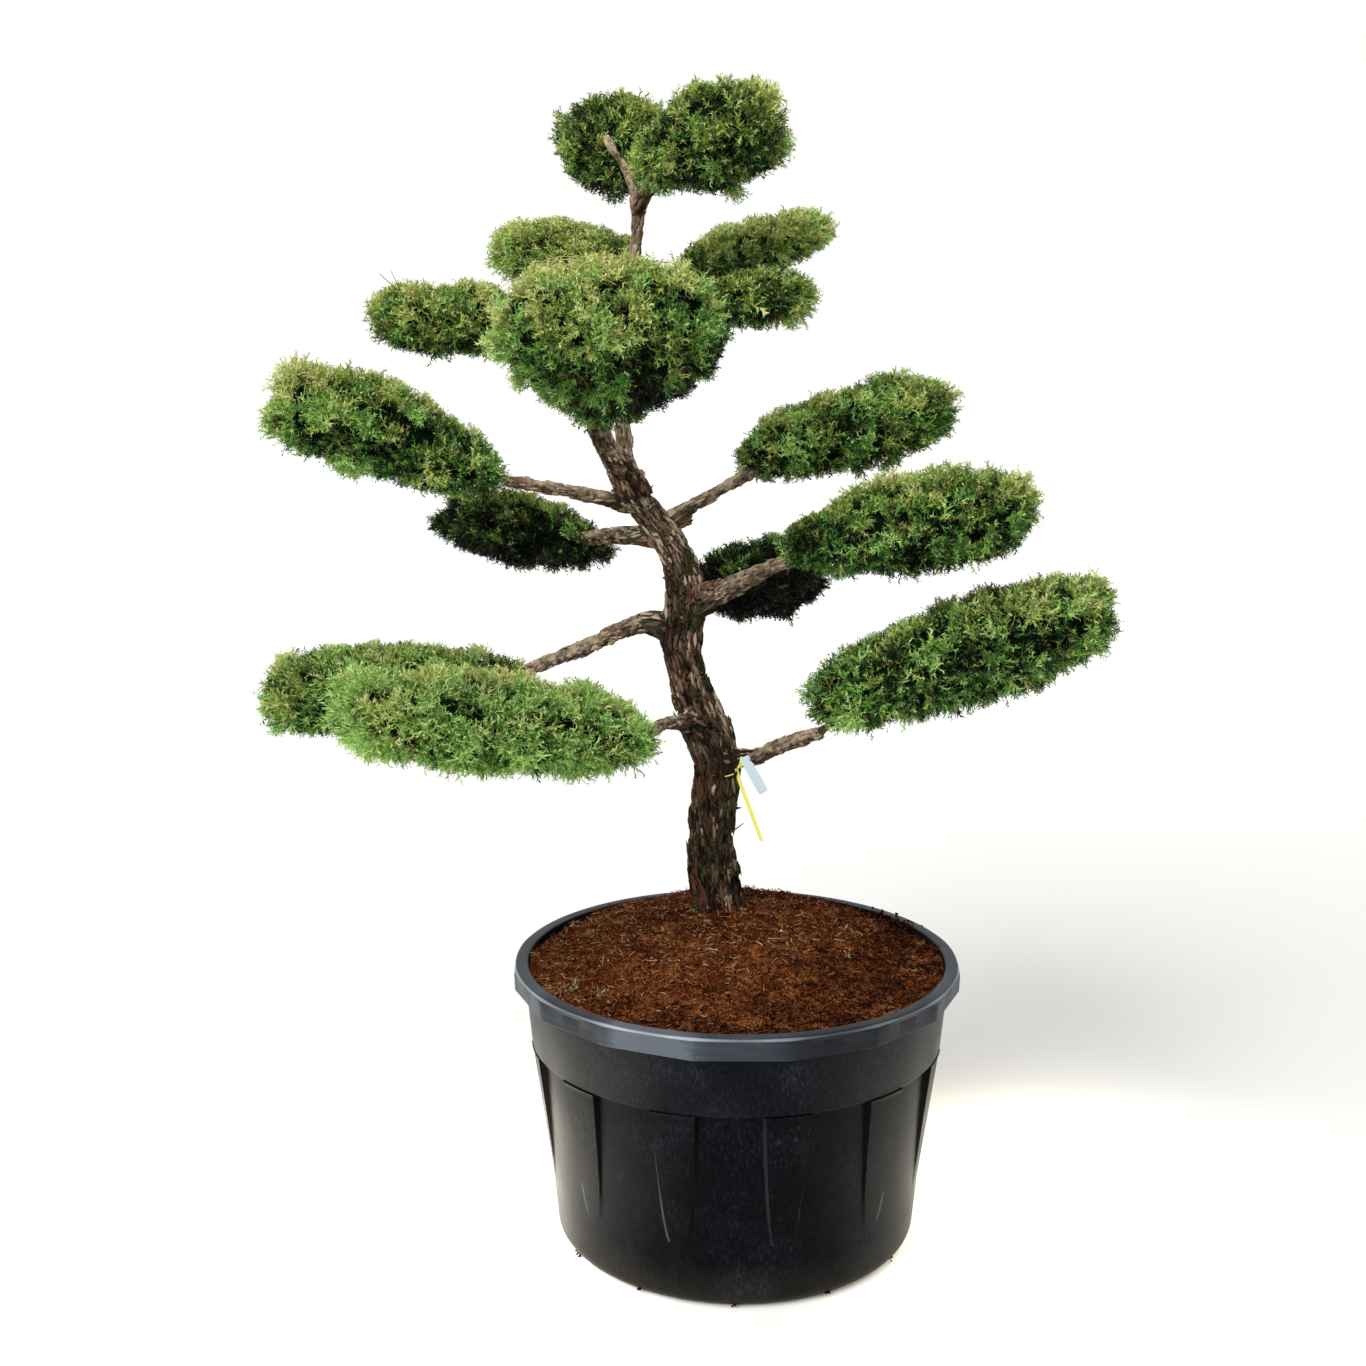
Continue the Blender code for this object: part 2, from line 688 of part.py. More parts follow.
def add_core(bm, mass):
    """The dense inside of a mass, a lumpy closed cushion one fringe smaller."""
    rings = []
    for i in range(1, CORE_RINGS):
        u = (1 - math.cos(math.pi * i / CORE_RINGS)) / 2
        turns = [2 * math.pi * (k + 0.5 * (i % 2)) / CORE_SIDES for k in range(CORE_SIDES)]
        rings.append([bm.verts.new(mass.surface(u, t, FRINGE)) for t in turns])
    for i, (low, high) in enumerate(zip(rings, rings[1:])):
        for k in range(CORE_SIDES):
            if i % 2:
                bm.faces.new((low[k - 1], low[k], high[k - 1]))
                bm.faces.new((low[k], high[k], high[k - 1]))
            else:
                bm.faces.new((low[k - 1], low[k], high[k]))
                bm.faces.new((low[k - 1], high[k], high[k - 1]))
    for ring, u in ((rings[0], 0.0), (rings[-1], 1.0)):
        pole = bm.verts.new(mass.surface(u, 0.0, FRINGE))
        for k in range(CORE_SIDES):
            bm.faces.new((ring[k - 1], ring[k], pole))


def add_spray(bm, root, tip, flat):
    """A fan of needles: a toothed blade that is thickest in its middle. Gives points of
    it, to test what it would touch."""
    along = (tip - root).normalized()
    length = (tip - root).length
    across = along.cross(flat).normalized()
    normal = across.cross(along)
    outline = []
    for forward, aside in SPRAY_TEETH:
        outline.append(root + along * length * forward + across * SPRAY_WIDTH / 2 * aside)
    rim = [bm.verts.new(p) for p in outline]
    middle = root + along * length * 0.5
    for sign in (1, -1):
        ridge = bm.verts.new(middle + normal * sign * SPRAY_THICKNESS / 2)
        for i in range(len(rim)):
            bm.faces.new((rim[i - 1], rim[i], ridge))
    return [*outline, middle, middle.lerp(tip, 0.5), root.lerp(middle, 0.5)]


def free_of(points, mass, masses, limbs):
    """True where all points stay in their own space and clear of every limb."""
    for point in points:
        for other in masses:
            if other is not mass and other.level(point) < 1.08:
                return False
        for start, end, radius in limbs:
            share = geometry.intersect_point_line(point, start, end)[1]
            near = start.lerp(end, min(1, max(0, share)))
            if (near - point).length < radius + LIMB_CLEAR:
                return False
    return True


def reach_outline(mass, root, heading, longest):
    """The furthest point that way which is still inside the mass's outline."""
    reach = longest
    while reach > SPRAY_SHORTEST and mass.level(root + heading * reach) > 1.04:
        reach -= 0.002
    return reach


def stem_path(mass, start, radius):
    """From the bough's tip, through the heel of the mass and on along its line."""
    rows = [(*start, radius)]
    for u in (0.25, 0.5, 0.72, 0.86):
        if u > mass.share_along(start) + 0.1:
            rows.append((*mass.line(u), radius * (1 - 0.8 * u)))
    return smooth_path(rows, 0.03)


def seeded_twigs(mass, rng):
    """Where each twig ends and how it leans: golden turns in an even march by area."""
    belts = list(mass.belts())
    count = round(sum(area for _, area, _ in belts) / SPRAY_AREA)
    step = sum(area for _, area, _ in belts) / count
    passed = 0.0
    placed = 0
    for u, area, slope in belts:
        passed += area
        while placed < count and passed > (placed + 0.5) * step:
            yield u, GOLDEN_TURN * placed + mass.seed + rng.uniform(-0.3, 0.3), slope
            placed += 1


def twig_ends(mass, u, turn, slope):
    """A twig's foot on the stem, its end just under the surface, and its heading."""
    foot = mass.line(min(0.84, max(0.1, u - 0.12)))
    end = mass.surface(u, turn, FRINGE + 0.005)
    outward = (mass.surface(0.5, turn) - mass.line(0.5)).normalized()
    normal = outward * math.cos(slope) + mass.along * math.sin(slope)
    return foot, end, (normal + FORWARD * mass.along + UPWARD * Vector((0, 0, 1))).normalized()


def cut_clear(core, mass, sleeves):
    """Cuts the core clear of each limb that runs into its space."""
    cutters = []
    for name, rows, first, last in sleeves:
        if min(mass.level(row.xyz) for row in rows) < 1.05:
            bm = bmesh.new()
            add_limb(bm, rows, BOUGH_SIDES, first=first, last=last)
            cutters.append(new_object("sleeve_" + name, bm, core.data.materials[0]))
    if cutters:
        fuse(core, cutters, "DIFFERENCE", "MANIFOLD")


def make_mass(name, masses, limbs, sleeves, start, heading, radius, finish):
    """One mass: its core, the stem with its twigs, and the sprays that stand out."""
    mass = masses[name]
    rng = random.Random(mass.seed)
    bm = bmesh.new()
    add_core(bm, mass)
    body = new_object("foliage_" + name, bm, finish, 25)
    cut_clear(body, mass, sleeves)
    bm = bmesh.new()
    add_limb(bm, stem_path(mass, start + heading * CLEAR, radius), STEM_SIDES, first=heading)
    parts = [new_object("stem", bm, finish)]
    for u, turn, slope in seeded_twigs(mass, rng):
        foot, end, way = twig_ends(mass, u, turn, slope)
        flat = Matrix.Rotation(rng.uniform(0, math.pi), 3, way) @ way.orthogonal()
        if not free_of([foot.lerp(end, i / 6) for i in range(7)], mass, masses.values(), limbs):
            continue
        bm = bmesh.new()
        add_limb(bm, [Vector((*foot, TWIG_ROOT_RADIUS)), Vector((*end, TWIG_TIP_RADIUS))], 3)
        parts.append(new_object("twig", bm, finish))
        reach = reach_outline(mass, end, way, SPRAY_LENGTH - SPRAY_SUNK)
        bm = bmesh.new()
        outline = add_spray(bm, end - way * SPRAY_SUNK, end + way * reach, flat)
        if reach > SPRAY_SHORTEST and free_of(outline, mass, masses.values(), limbs):
            parts.append(new_object("spray", bm, finish))
        else:
            bm.free()
    fuse(body, parts, solver="MANIFOLD")
    keep_outer_skin(body)
    return body


def band_crossing(trunk):
    """The middle of the tie's band, its radius, and where the strip crosses it."""
    here = trunk_at(trunk, TIE_HEIGHT)
    radius = here.w * 1.06 + TIE_RADIUS + 0.0012
    tilt = Matrix.Rotation(TIE_TILT, 3, "Y")
    out = tilt @ Vector((math.cos(CROSSING), math.sin(CROSSING), 0))
    return here.xyz, radius, tilt, here.xyz + out * radius


def make_tie(trunk, finish):
    """A thin tilted band round the trunk, and the strip that is knotted to it."""
    centre, radius, tilt, crossing = band_crossing(trunk)
    bm = bmesh.new()
    circle = bmesh.ops.create_circle(
        bm,
        segments=5,
        radius=TIE_RADIUS,
        matrix=Matrix.Translation((radius, 0, 0)) @ Matrix.Rotation(math.pi / 2, 4, "X"),
    )
    loop = {edge for vert in circle["verts"] for edge in vert.link_edges}
    bmesh.ops.spin(
        bm,
        geom=circle["verts"] + list(loop),
        cent=(0, 0, 0),
        axis=(0, 0, 1),
        angle=2 * math.pi,
        steps=TIE_STEPS,
        use_merge=True,
    )
    bm.transform(Matrix.Translation(centre) @ tilt.to_4x4())
    band = new_object("label_tie", bm, finish)
    bm = bmesh.new()
    half = Vector((STRIP_WIDTH / 2, 0, 0))
    thick = Vector((0, STRIP_THICKNESS / 2, 0))
    loops = []
    for bend in STRIP:
        middle = crossing + Vector(bend)
        corners = (-half - thick, half - thick, half + thick, thick - half)
        loops.append([bm.verts.new(middle + corner) for corner in corners])
    bm.faces.new(loops[0])
    bm.faces.new(loops[-1])
    for low, high in zip(loops, loops[1:]):
        for k in range(4):
            bm.faces.new((low[k - 1], low[k], high[k], high[k - 1]))
    strip = new_object("strip", bm, finish)
    bm = bmesh.new()
    knot = crossing + Vector(STRIP[0]) - Vector((0, 0, KNOT_RADIUS))
    bmesh.ops.create_icosphere(
        bm, subdivisions=1, radius=KNOT_RADIUS, matrix=Matrix.Translation(knot)
    )
    fuse(band, [strip, new_object("knot", bm, finish)])
    return band


def make_tag(trunk, finish):
    """A flat plastic tag that hangs in front of the knot and leans to the right."""
    crossing = band_crossing(trunk)[3]
    front = KNOT_RADIUS + CLEAR + TAG_THICKNESS / 2
    top = crossing + Vector(STRIP[0]) + Vector((0.002, -front, 0))
    bm = bmesh.new()
    size = Matrix.Diagonal((TAG_WIDTH, TAG_THICKNESS, TAG_LENGTH, 1))
    bmesh.ops.create_cube(bm, size=1, matrix=size)
    lean = Matrix.Rotation(-TAG_LEAN, 4, "Y")
    drop = Matrix.Translation((0, 0, -TAG_LENGTH / 2))
    bm.transform(Matrix.Translation(top) @ lean @ drop)
    return new_object("label_tag", bm, finish)


def build():
    clear_scene()
    plastic = material("pot_plastic", (0.13, 0.15, 0.18), 0.42)
    soil = material("peat", (0.40, 0.20, 0.11), 0.95)
    bark = material("bark", (0.34, 0.26, 0.20), 0.9)
    green = material("foliage", (0.27, 0.42, 0.16), 0.75)
    yellow = material("tie_plastic", (0.90, 0.90, 0.28), 0.5)
    pale = material("tag_plastic", (0.86, 0.94, 0.95), 0.45)
    make_pot(plastic)
    make_peat(soil)
    trunk = smooth_path(TRUNK, 0.012)
    routes = {}
    for name in BOUGHS:
        route = bough_route(name, trunk)
        routes[name] = (route, clear_of_trunk(route, lengths_along(route), trunk))
    sleeves = [make_trunk(trunk, routes, bark)]
    for name, (route, split) in routes.items():
        sleeves.append(make_bough(name, route, split, bark))
    limbs = [(a.xyz, b.xyz, max(a.w, b.w)) for a, b in zip(trunk, trunk[1:])]
    for route, _ in routes.values():
        limbs += [(a.xyz, b.xyz, max(a.w, b.w)) for a, b in zip(route, route[1:])]
    masses = {name: Mass(name) for name in MASSES}
    for name in MASSES:
        route = routes[name][0] if name in routes else trunk
        heading = heading_at(route, lengths_along(route)[-1])
        end = route[-1]
        make_mass(name, masses, limbs, sleeves, end.xyz, heading, end.w, green)
    make_tie(trunk, yellow)
    make_tag(trunk, pale)


build()
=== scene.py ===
import bmesh
import bpy
import math
import random
from functools import partial

import numpy as np
from mathutils import Matrix, Vector, kdtree, noise


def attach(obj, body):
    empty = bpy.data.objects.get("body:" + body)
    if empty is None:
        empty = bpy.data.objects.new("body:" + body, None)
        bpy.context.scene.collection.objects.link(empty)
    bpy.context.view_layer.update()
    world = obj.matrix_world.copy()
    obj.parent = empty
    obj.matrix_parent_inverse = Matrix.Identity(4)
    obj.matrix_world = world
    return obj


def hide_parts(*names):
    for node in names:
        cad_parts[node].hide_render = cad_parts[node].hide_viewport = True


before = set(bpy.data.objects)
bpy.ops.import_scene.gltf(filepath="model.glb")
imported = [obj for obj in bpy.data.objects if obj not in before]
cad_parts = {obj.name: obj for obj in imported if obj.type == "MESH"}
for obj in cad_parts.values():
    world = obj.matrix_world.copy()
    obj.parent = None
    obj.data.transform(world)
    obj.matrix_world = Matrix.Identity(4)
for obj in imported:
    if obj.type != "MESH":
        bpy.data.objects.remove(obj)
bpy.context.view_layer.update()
scene = bpy.context.scene
scene.view_settings.view_transform = "Standard"
goldenTurn = math.pi * (3 - math.sqrt(5))
fullTurn = 2 * math.pi
up = Vector((0, 0, 1))


def clamp(value):
    return min(1, max(0, value))


# Colours, finishes and finished pieces

def toLinear(hexColour):
    channels = [int(hexColour[i : i + 2], 16) / 255 for i in (1, 3, 5)]
    return (*(c / 12.92 if c <= 0.04045 else ((c + 0.055) / 1.055) ** 2.4 for c in channels), 1)


def newFinish(name, colour, roughness, **shine):
    finish = bpy.data.materials.new(name)
    finish.use_nodes = True
    shader = finish.node_tree.nodes["Principled BSDF"]
    shader.inputs["Base Color"].default_value = toLinear(colour)
    shader.inputs["Roughness"].default_value = roughness
    for socket, value in shine.items():
        shader.inputs[socket.replace("_", " ")].default_value = value
    finish.diffuse_color = toLinear(colour)
    return finish


def newFinishes(colours, roughness, specular):
    return [
        newFinish(name, colour, roughness, Specular_IOR_Level=specular)
        for name, colour in colours.items()
    ]


def addNode(finish, kind, inputs=(), out=0, stops=(), **settings):
    # inputs go by name or in the node's own order, and a value is a number, a hex or a link
    node = finish.node_tree.nodes.new("ShaderNode" + kind)
    for name, value in settings.items():
        setattr(node, name, value)
    for name, value in inputs.items() if isinstance(inputs, dict) else enumerate(inputs):
        if isinstance(value, bpy.types.NodeSocket):
            finish.node_tree.links.new(value, node.inputs[name])
        else:
            node.inputs[name].default_value = toLinear(value) if isinstance(value, str) else value
    for i, (place, colour) in enumerate(stops):  # the stops of a colour ramp
        elements = node.color_ramp.elements
        stop = elements[i] if i < len(elements) else elements.new(place)
        stop.position = place
        stop.color = toLinear(colour)
    return node.outputs[out]


def linkTo(finish, socket, value):
    shader = finish.node_tree.nodes["Principled BSDF"]
    finish.node_tree.links.new(value, shader.inputs[socket])


def finishPiece(name, mesh, finishes, nodes=()):
    for finish in finishes:
        mesh.materials.append(finish)
    piece = bpy.data.objects.new(name, mesh)
    scene.collection.objects.link(piece)
    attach(piece, "root")
    if nodes:
        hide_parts(*nodes)
    print(name, len(mesh.polygons), "faces")


def chain(bm, spots):  # vertices with edges from each to the next
    points = [bm.verts.new(spot) for spot in spots]
    return points, [bm.edges.new(pair) for pair in zip(points, points[1:])]


def spinRound(bm, geom, steps):
    bmesh.ops.spin(
        bm,
        geom=geom,
        cent=(0, 0, 0),
        axis=up,
        angle=fullTurn,
        steps=steps,
        use_merge=True,
    )
    bmesh.ops.remove_doubles(bm, verts=bm.verts, dist=1e-5)


def meshFrom(name, bm, crease=None):
    bmesh.ops.recalc_face_normals(bm, faces=bm.faces)
    mesh = bpy.data.meshes.new(name)
    bm.to_mesh(mesh)
    bm.free()
    mesh.shade_smooth()
    if crease:
        mesh.set_sharp_from_angle(angle=math.radians(crease))
    return mesh


def settled(data, **modifiers):  # a mesh or curve as a new mesh, with modifiers applied to it
    holder = bpy.data.objects.new("holder", data)
    scene.collection.objects.link(holder)
    for kind, settings in modifiers.items():
        modifier = holder.modifiers.new(kind, kind)
        for name, value in settings.items():
            setattr(modifier, name, value)
    bpy.context.view_layer.update()
    graph = bpy.context.evaluated_depsgraph_get()
    made = bpy.data.meshes.new_from_object(holder.evaluated_get(graph))
    bpy.data.objects.remove(holder)
    made.materials.clear()
    return made


# Small shapes that are copied many times, and the joined mesh of all their copies

def shapeOf(bm):
    bmesh.ops.remove_doubles(bm, verts=bm.verts, dist=1e-5)
    bmesh.ops.recalc_face_normals(bm, faces=bm.faces)
    bmesh.ops.triangulate(bm, faces=bm.faces)
    bm.verts.index_update()
    points = np.array([vert.co for vert in bm.verts])
    corners = np.array([[vert.index for vert in face.verts] for face in bm.faces])
    bm.free()
    return points, corners


def joinCopies(name, batches):
    points, corners, colours, used = [], [], [], 0
    for (shapePoints, shapeCorners), places, frames, tints in batches:
        moved = np.einsum("kij,nj->kni", frames, shapePoints) + places[:, None, :]
        firsts = used + np.arange(len(places)) * len(shapePoints)
        points.append(moved.reshape(-1, 3))
        corners.append((shapeCorners[None] + firsts[:, None, None]).reshape(-1, 3))
        colours.append(np.repeat(tints, len(shapeCorners)))
        used += len(places) * len(shapePoints)
    points, corners, colours = map(np.concatenate, (points, corners, colours))
    mesh = bpy.data.meshes.new(name)
    mesh.vertices.add(len(points))
    mesh.vertices.foreach_set("co", points.astype(np.float32).ravel())
    mesh.loops.add(corners.size)
    mesh.loops.foreach_set("vertex_index", corners.astype(np.int32).ravel())
    mesh.polygons.add(len(corners))
    mesh.polygons.foreach_set("loop_start", np.arange(0, corners.size, 3, dtype=np.int32))
    mesh.polygons.foreach_set("material_index", colours.astype(np.int32))
    mesh.update(calc_edges=True)
    return mesh


def unit(rows):
    return rows / np.maximum(np.linalg.norm(rows, axis=-1, keepdims=True), 1e-9)


def framesAlong(ways, lengths, rolls, widths=None):
    # three axes for each copy: two across its heading, turned by its roll, and one along
    helper = np.where(np.abs(ways[:, 2:3]) < 0.9, [[0.0, 0.0, 1.0]], [[1.0, 0.0, 0.0]])
    side = np.cross(helper, ways)
    side /= np.linalg.norm(side, axis=1, keepdims=True)
    across = np.cross(ways, side)
    first = side * np.cos(rolls)[:, None] + across * np.sin(rolls)[:, None]
    widths = lengths if widths is None else widths
    axes = (first, widths), (np.cross(ways, first), widths), (ways, lengths)
    return np.stack([axis * size[:, None] for axis, size in axes], axis=2)


# The pot: a round nursery container with a panelled collar and V-shaped buttresses

pot = {
    "rimRadius": 0.3520,
    "height": 0.446,
    "mouthRadius": 0.3275,
    "lipRadius": 0.3450,
    "lipDrop": 0.0095,
    "collarDrop": 0.0345,
    "collarFootRadius": 0.3510,
    "panels": 16,
    "firstCrease": -11.75,
    "bandTopRadius": 0.3325,
    "bandFootRadius": 0.3234,
    "bandFoot": 0.318,
    "wallTopRadius": 0.3130,
    "wallTop": 0.315,
    "wallFootRadius": 0.2865,
    "wallCuts": 36,
    "cornerRadius": 0.025,
    "wall": 0.005,
    "steps": 480,
    "rounding": 0.0016,
    "crease": 28,
    "buttresses": 12,
    "firstButtress": -18,
    "buttressSpread": 6.0,
    "buttressFootSpread": 0.8,
    "buttressFoot": 0.095,
    "buttressBlend": 0.04,  # where a buttress's flanks have faded into the wall
    "buttressRamp": 0.75,
    "buttressTaper": 0.36,  # the V's sides curve in towards its foot
    "holes": 12,
    "firstHole": -2,
    "holeRadius": 0.0055,
    "holeDepth": 0.024,
}
# how strong the painted highlight on each buttress is, on its left flank, or below zero on its
# right one; the other flank has painted shade
buttressFlankLight = (1.0, 0.3, -0.9, -0.5, 0.6, -0.4, 0.8, 0.3, -0.6, 0.5, 0.7, 0.45)
# how pale each of the collar's panels is, in turn from the first crease: part chalking, part
# painted highlight and shade
panelChalkAndLight = (
    0.52, 0.20, 0.36, 0.60, 0.50, 0.35, 0.60, 0.45,
    0.30, 0.55, 0.40, 0.60, 0.50, 0.60, 0.34, 0.86,
)


def facing(angle, radius, height):  # an angle in degrees from the front, positive to the right
    turn = math.radians(angle)
    return Vector((radius * math.sin(turn), -radius * math.cos(turn), height))


def turnOf(spot):
    return math.degrees(math.atan2(spot.x, -spot.y))


def wallRadius(height):
    share = (height - pot["cornerRadius"]) / (pot["wallTop"] - pot["cornerRadius"])
    return pot["wallFootRadius"] + share * (pot["wallTopRadius"] - pot["wallFootRadius"])


def upButtress(height):  # 0 at a buttress's foot, 1 at its top
    return (height - pot["buttressFoot"]) / (pot["wallTop"] - pot["buttressFoot"])


def offButtress(turn):  # degrees from the middle of the nearest buttress
    sector = 360 / pot["buttresses"]
    return (turn - pot["firstButtress"] + sector / 2) % sector - sector / 2


def quarter(steps):
    return [math.pi / 2 * i / steps for i in range(steps + 1)]


def roundCorner(wallAt, radius, floor, steps):
    return [
        (wallAt - radius + radius * math.cos(t), floor + radius - radius * math.sin(t))
        for t in quarter(steps)
    ]


def potOutline():
    p = pot
    collarFoot = p["height"] - p["collarDrop"]
    lipWidth = p["rimRadius"] - p["lipRadius"]
    footInside = (p["wallFootRadius"] - p["wall"], p["cornerRadius"] - p["wall"], p["wall"])
    return [
        (0, p["wall"]),
        *reversed(roundCorner(*footInside, 6)),
        (p["wallTopRadius"] - p["wall"], p["wallTop"]),
        (p["bandFootRadius"] - p["wall"], p["bandFoot"] + p["wall"]),
        (p["mouthRadius"], p["height"] - 0.003),
        (p["mouthRadius"] + 0.0012, p["height"]),
        *(
            (
                p["lipRadius"] + lipWidth * math.sin(t),
                p["height"] - p["lipDrop"] * (1 - math.cos(t)),
            )
            for t in quarter(8)
        ),
        (p["collarFootRadius"], collarFoot),
        (p["bandTopRadius"], collarFoot),
        (p["bandFootRadius"], p["bandFoot"]),
        (p["wallTopRadius"], p["wallTop"]),
        *roundCorner(p["wallFootRadius"], p["cornerRadius"], 0.0, 8),
        (0, 0),
    ]


def shapePot(vert):
    # flattens the collar into panels, and lifts the V buttresses out of the wall
    radius, height, turn = vert.co.xy.length, vert.co.z, turnOf(vert.co)
    if radius < 0.2:
        return
    if radius > pot["lipRadius"] - 0.001 and height > pot["height"] - pot["collarDrop"] - 0.001:
        step = 360 / pot["panels"]
        aside = (turn - pot["firstCrease"]) % step - step / 2
        ratio = math.cos(math.radians(step / 2)) / math.cos(math.radians(aside))
        flat = clamp((pot["height"] - height) / pot["lipDrop"])
        vert.co = facing(turn, radius * (1 + flat * (ratio - 1)), height)
    elif height < pot["wallTop"] + 0.0005 and radius > wallRadius(height) - pot["wall"] / 2:
        foothold, spread = pot["buttressFootSpread"], pot["buttressSpread"]
        ramp = pot["buttressRamp"]
        share = clamp(upButtress(height))
        start = pot["buttressBlend"]
        blend = clamp((height - start) / (pot["buttressFoot"] - start))
        aside = offButtress(turn)
        off, halfSector = abs(aside), 180 / pot["buttresses"]
        half = foothold + share ** pot["buttressTaper"] * (spread - foothold)
        if off <= spread:
            bent, proud = off * half / spread, 1
        elif off <= spread + ramp:
            bent, proud = half + off - spread, 1 - (off - spread) / ramp
        else:
            left = (halfSector - off) / (halfSector - spread - ramp)
            bent, proud = halfSector - left * (halfSector - half - ramp), 0
        bent = off + blend * (bent - off)
        lift = share * proud * (pot["bandFootRadius"] - 0.0004 - pot["wallTopRadius"])
        turn += (bent - off) * math.copysign(1, aside)
        vert.co = facing(turn, radius + lift, height)


def flank(spot):  # below zero on a buttress's flank with its painted highlight, 1 on the flank with painted shade
    if not 0.03 < upButtress(spot.z) < 1 or spot.xy.length < wallRadius(spot.z) - pot["wall"] / 2:
        return 0
    turn = turnOf(spot)
    aside = offButtress(turn)
    if not 0 < abs(aside) - pot["buttressSpread"] < pot["buttressRamp"]:
        return 0
    count = pot["buttresses"]
    flankHighlight = buttressFlankLight[round((turn - pot["firstButtress"]) * count / 360) % count]
    return -abs(flankHighlight) if flankHighlight * aside < 0 else 1


def chalk_and_light(spot):  # a panel's paleness, part chalking and part painted highlight and shade, eased from the middle of one panel to the next
    count = pot["panels"]
    turn = (turnOf(spot) - pot["firstCrease"]) * count / 360 - 0.5
    low = math.floor(turn)
    ease = clamp((turn - low - 0.3) / 0.4)
    return panelChalkAndLight[low % count] * (1 - ease) + panelChalkAndLight[(low + 1) % count] * ease


def drainHole(i):
    angle = pot["firstHole"] + i * 360 / pot["holes"]
    reach = pot["cornerRadius"] * math.cos(math.pi / 4)
    middle = pot["wallFootRadius"] - pot["cornerRadius"] + reach
    return angle, facing(angle, middle, pot["cornerRadius"] - reach)


def makePot():
    bm = bmesh.new()
    _, edges = chain(bm, [facing(pot["firstButtress"], r, z) for r, z in potOutline()])
    long = [e for e in edges if e.calc_length() > 0.2 and e.verts[0].co.xy.length > 0.25]
    bmesh.ops.subdivide_edges(bm, edges=long, cuts=pot["wallCuts"])
    lip = (pot["height"] - pot["lipDrop"], pot["lipRadius"] - 0.0001)
    corners = [
        v
        for v in bm.verts
        if v.co.z > pot["wallTop"] - 0.001 and not (v.co.z >= lip[0] and v.co.xy.length > lip[1])
    ]
    bmesh.ops.bevel(
        bm,
        geom=corners,
        offset=pot["rounding"],
        offset_type="OFFSET",
        segments=3,
        profile=0.5,
        affect="VERTICES",
        material=-1,
        clamp_overlap=True,
    )
    spinRound(bm, list(bm.verts) + list(bm.edges), pot["steps"])
    flank_light, chalkLit = (bm.faces.layers.float.new(name) for name in ("flank_light", "chalk_and_light"))
    # per face: the painted highlight and painted shade of the buttress flanks, and each collar
    # panel's paleness, part chalking and part painted highlight and shade
    for face in bm.faces:
        face[flank_light] = flank(face.calc_center_median())
        face[chalkLit] = chalk_and_light(face.calc_center_median())
    for vert in bm.verts:
        shapePot(vert)
    drills = bmesh.new()
    for i in range(pot["holes"]):
        angle, spot = drainHole(i)
        turn = Matrix.Rotation(math.radians(angle), 4, "Z")
        slant = Matrix.Rotation(math.radians(135), 4, "X")
        bmesh.ops.create_cone(
            drills,
            cap_ends=True,
            segments=24,
            radius1=pot["holeRadius"],
            radius2=pot["holeRadius"],
            depth=pot["holeDepth"],
            matrix=Matrix.Translation(spot) @ turn @ slant,
        )
    cutter = bpy.data.objects.new("drainCutter", meshFrom("drainCutter", drills))
    scene.collection.objects.link(cutter)
    cut = {"operation": "DIFFERENCE", "object": cutter, "solver": "MANIFOLD"}
    drained = settled(meshFrom("potShell", bm), BOOLEAN=cut)
    bpy.data.objects.remove(cutter)
    drained.shade_smooth()
    drained.set_sharp_from_angle(angle=math.radians(pot["crease"]))
    return drained


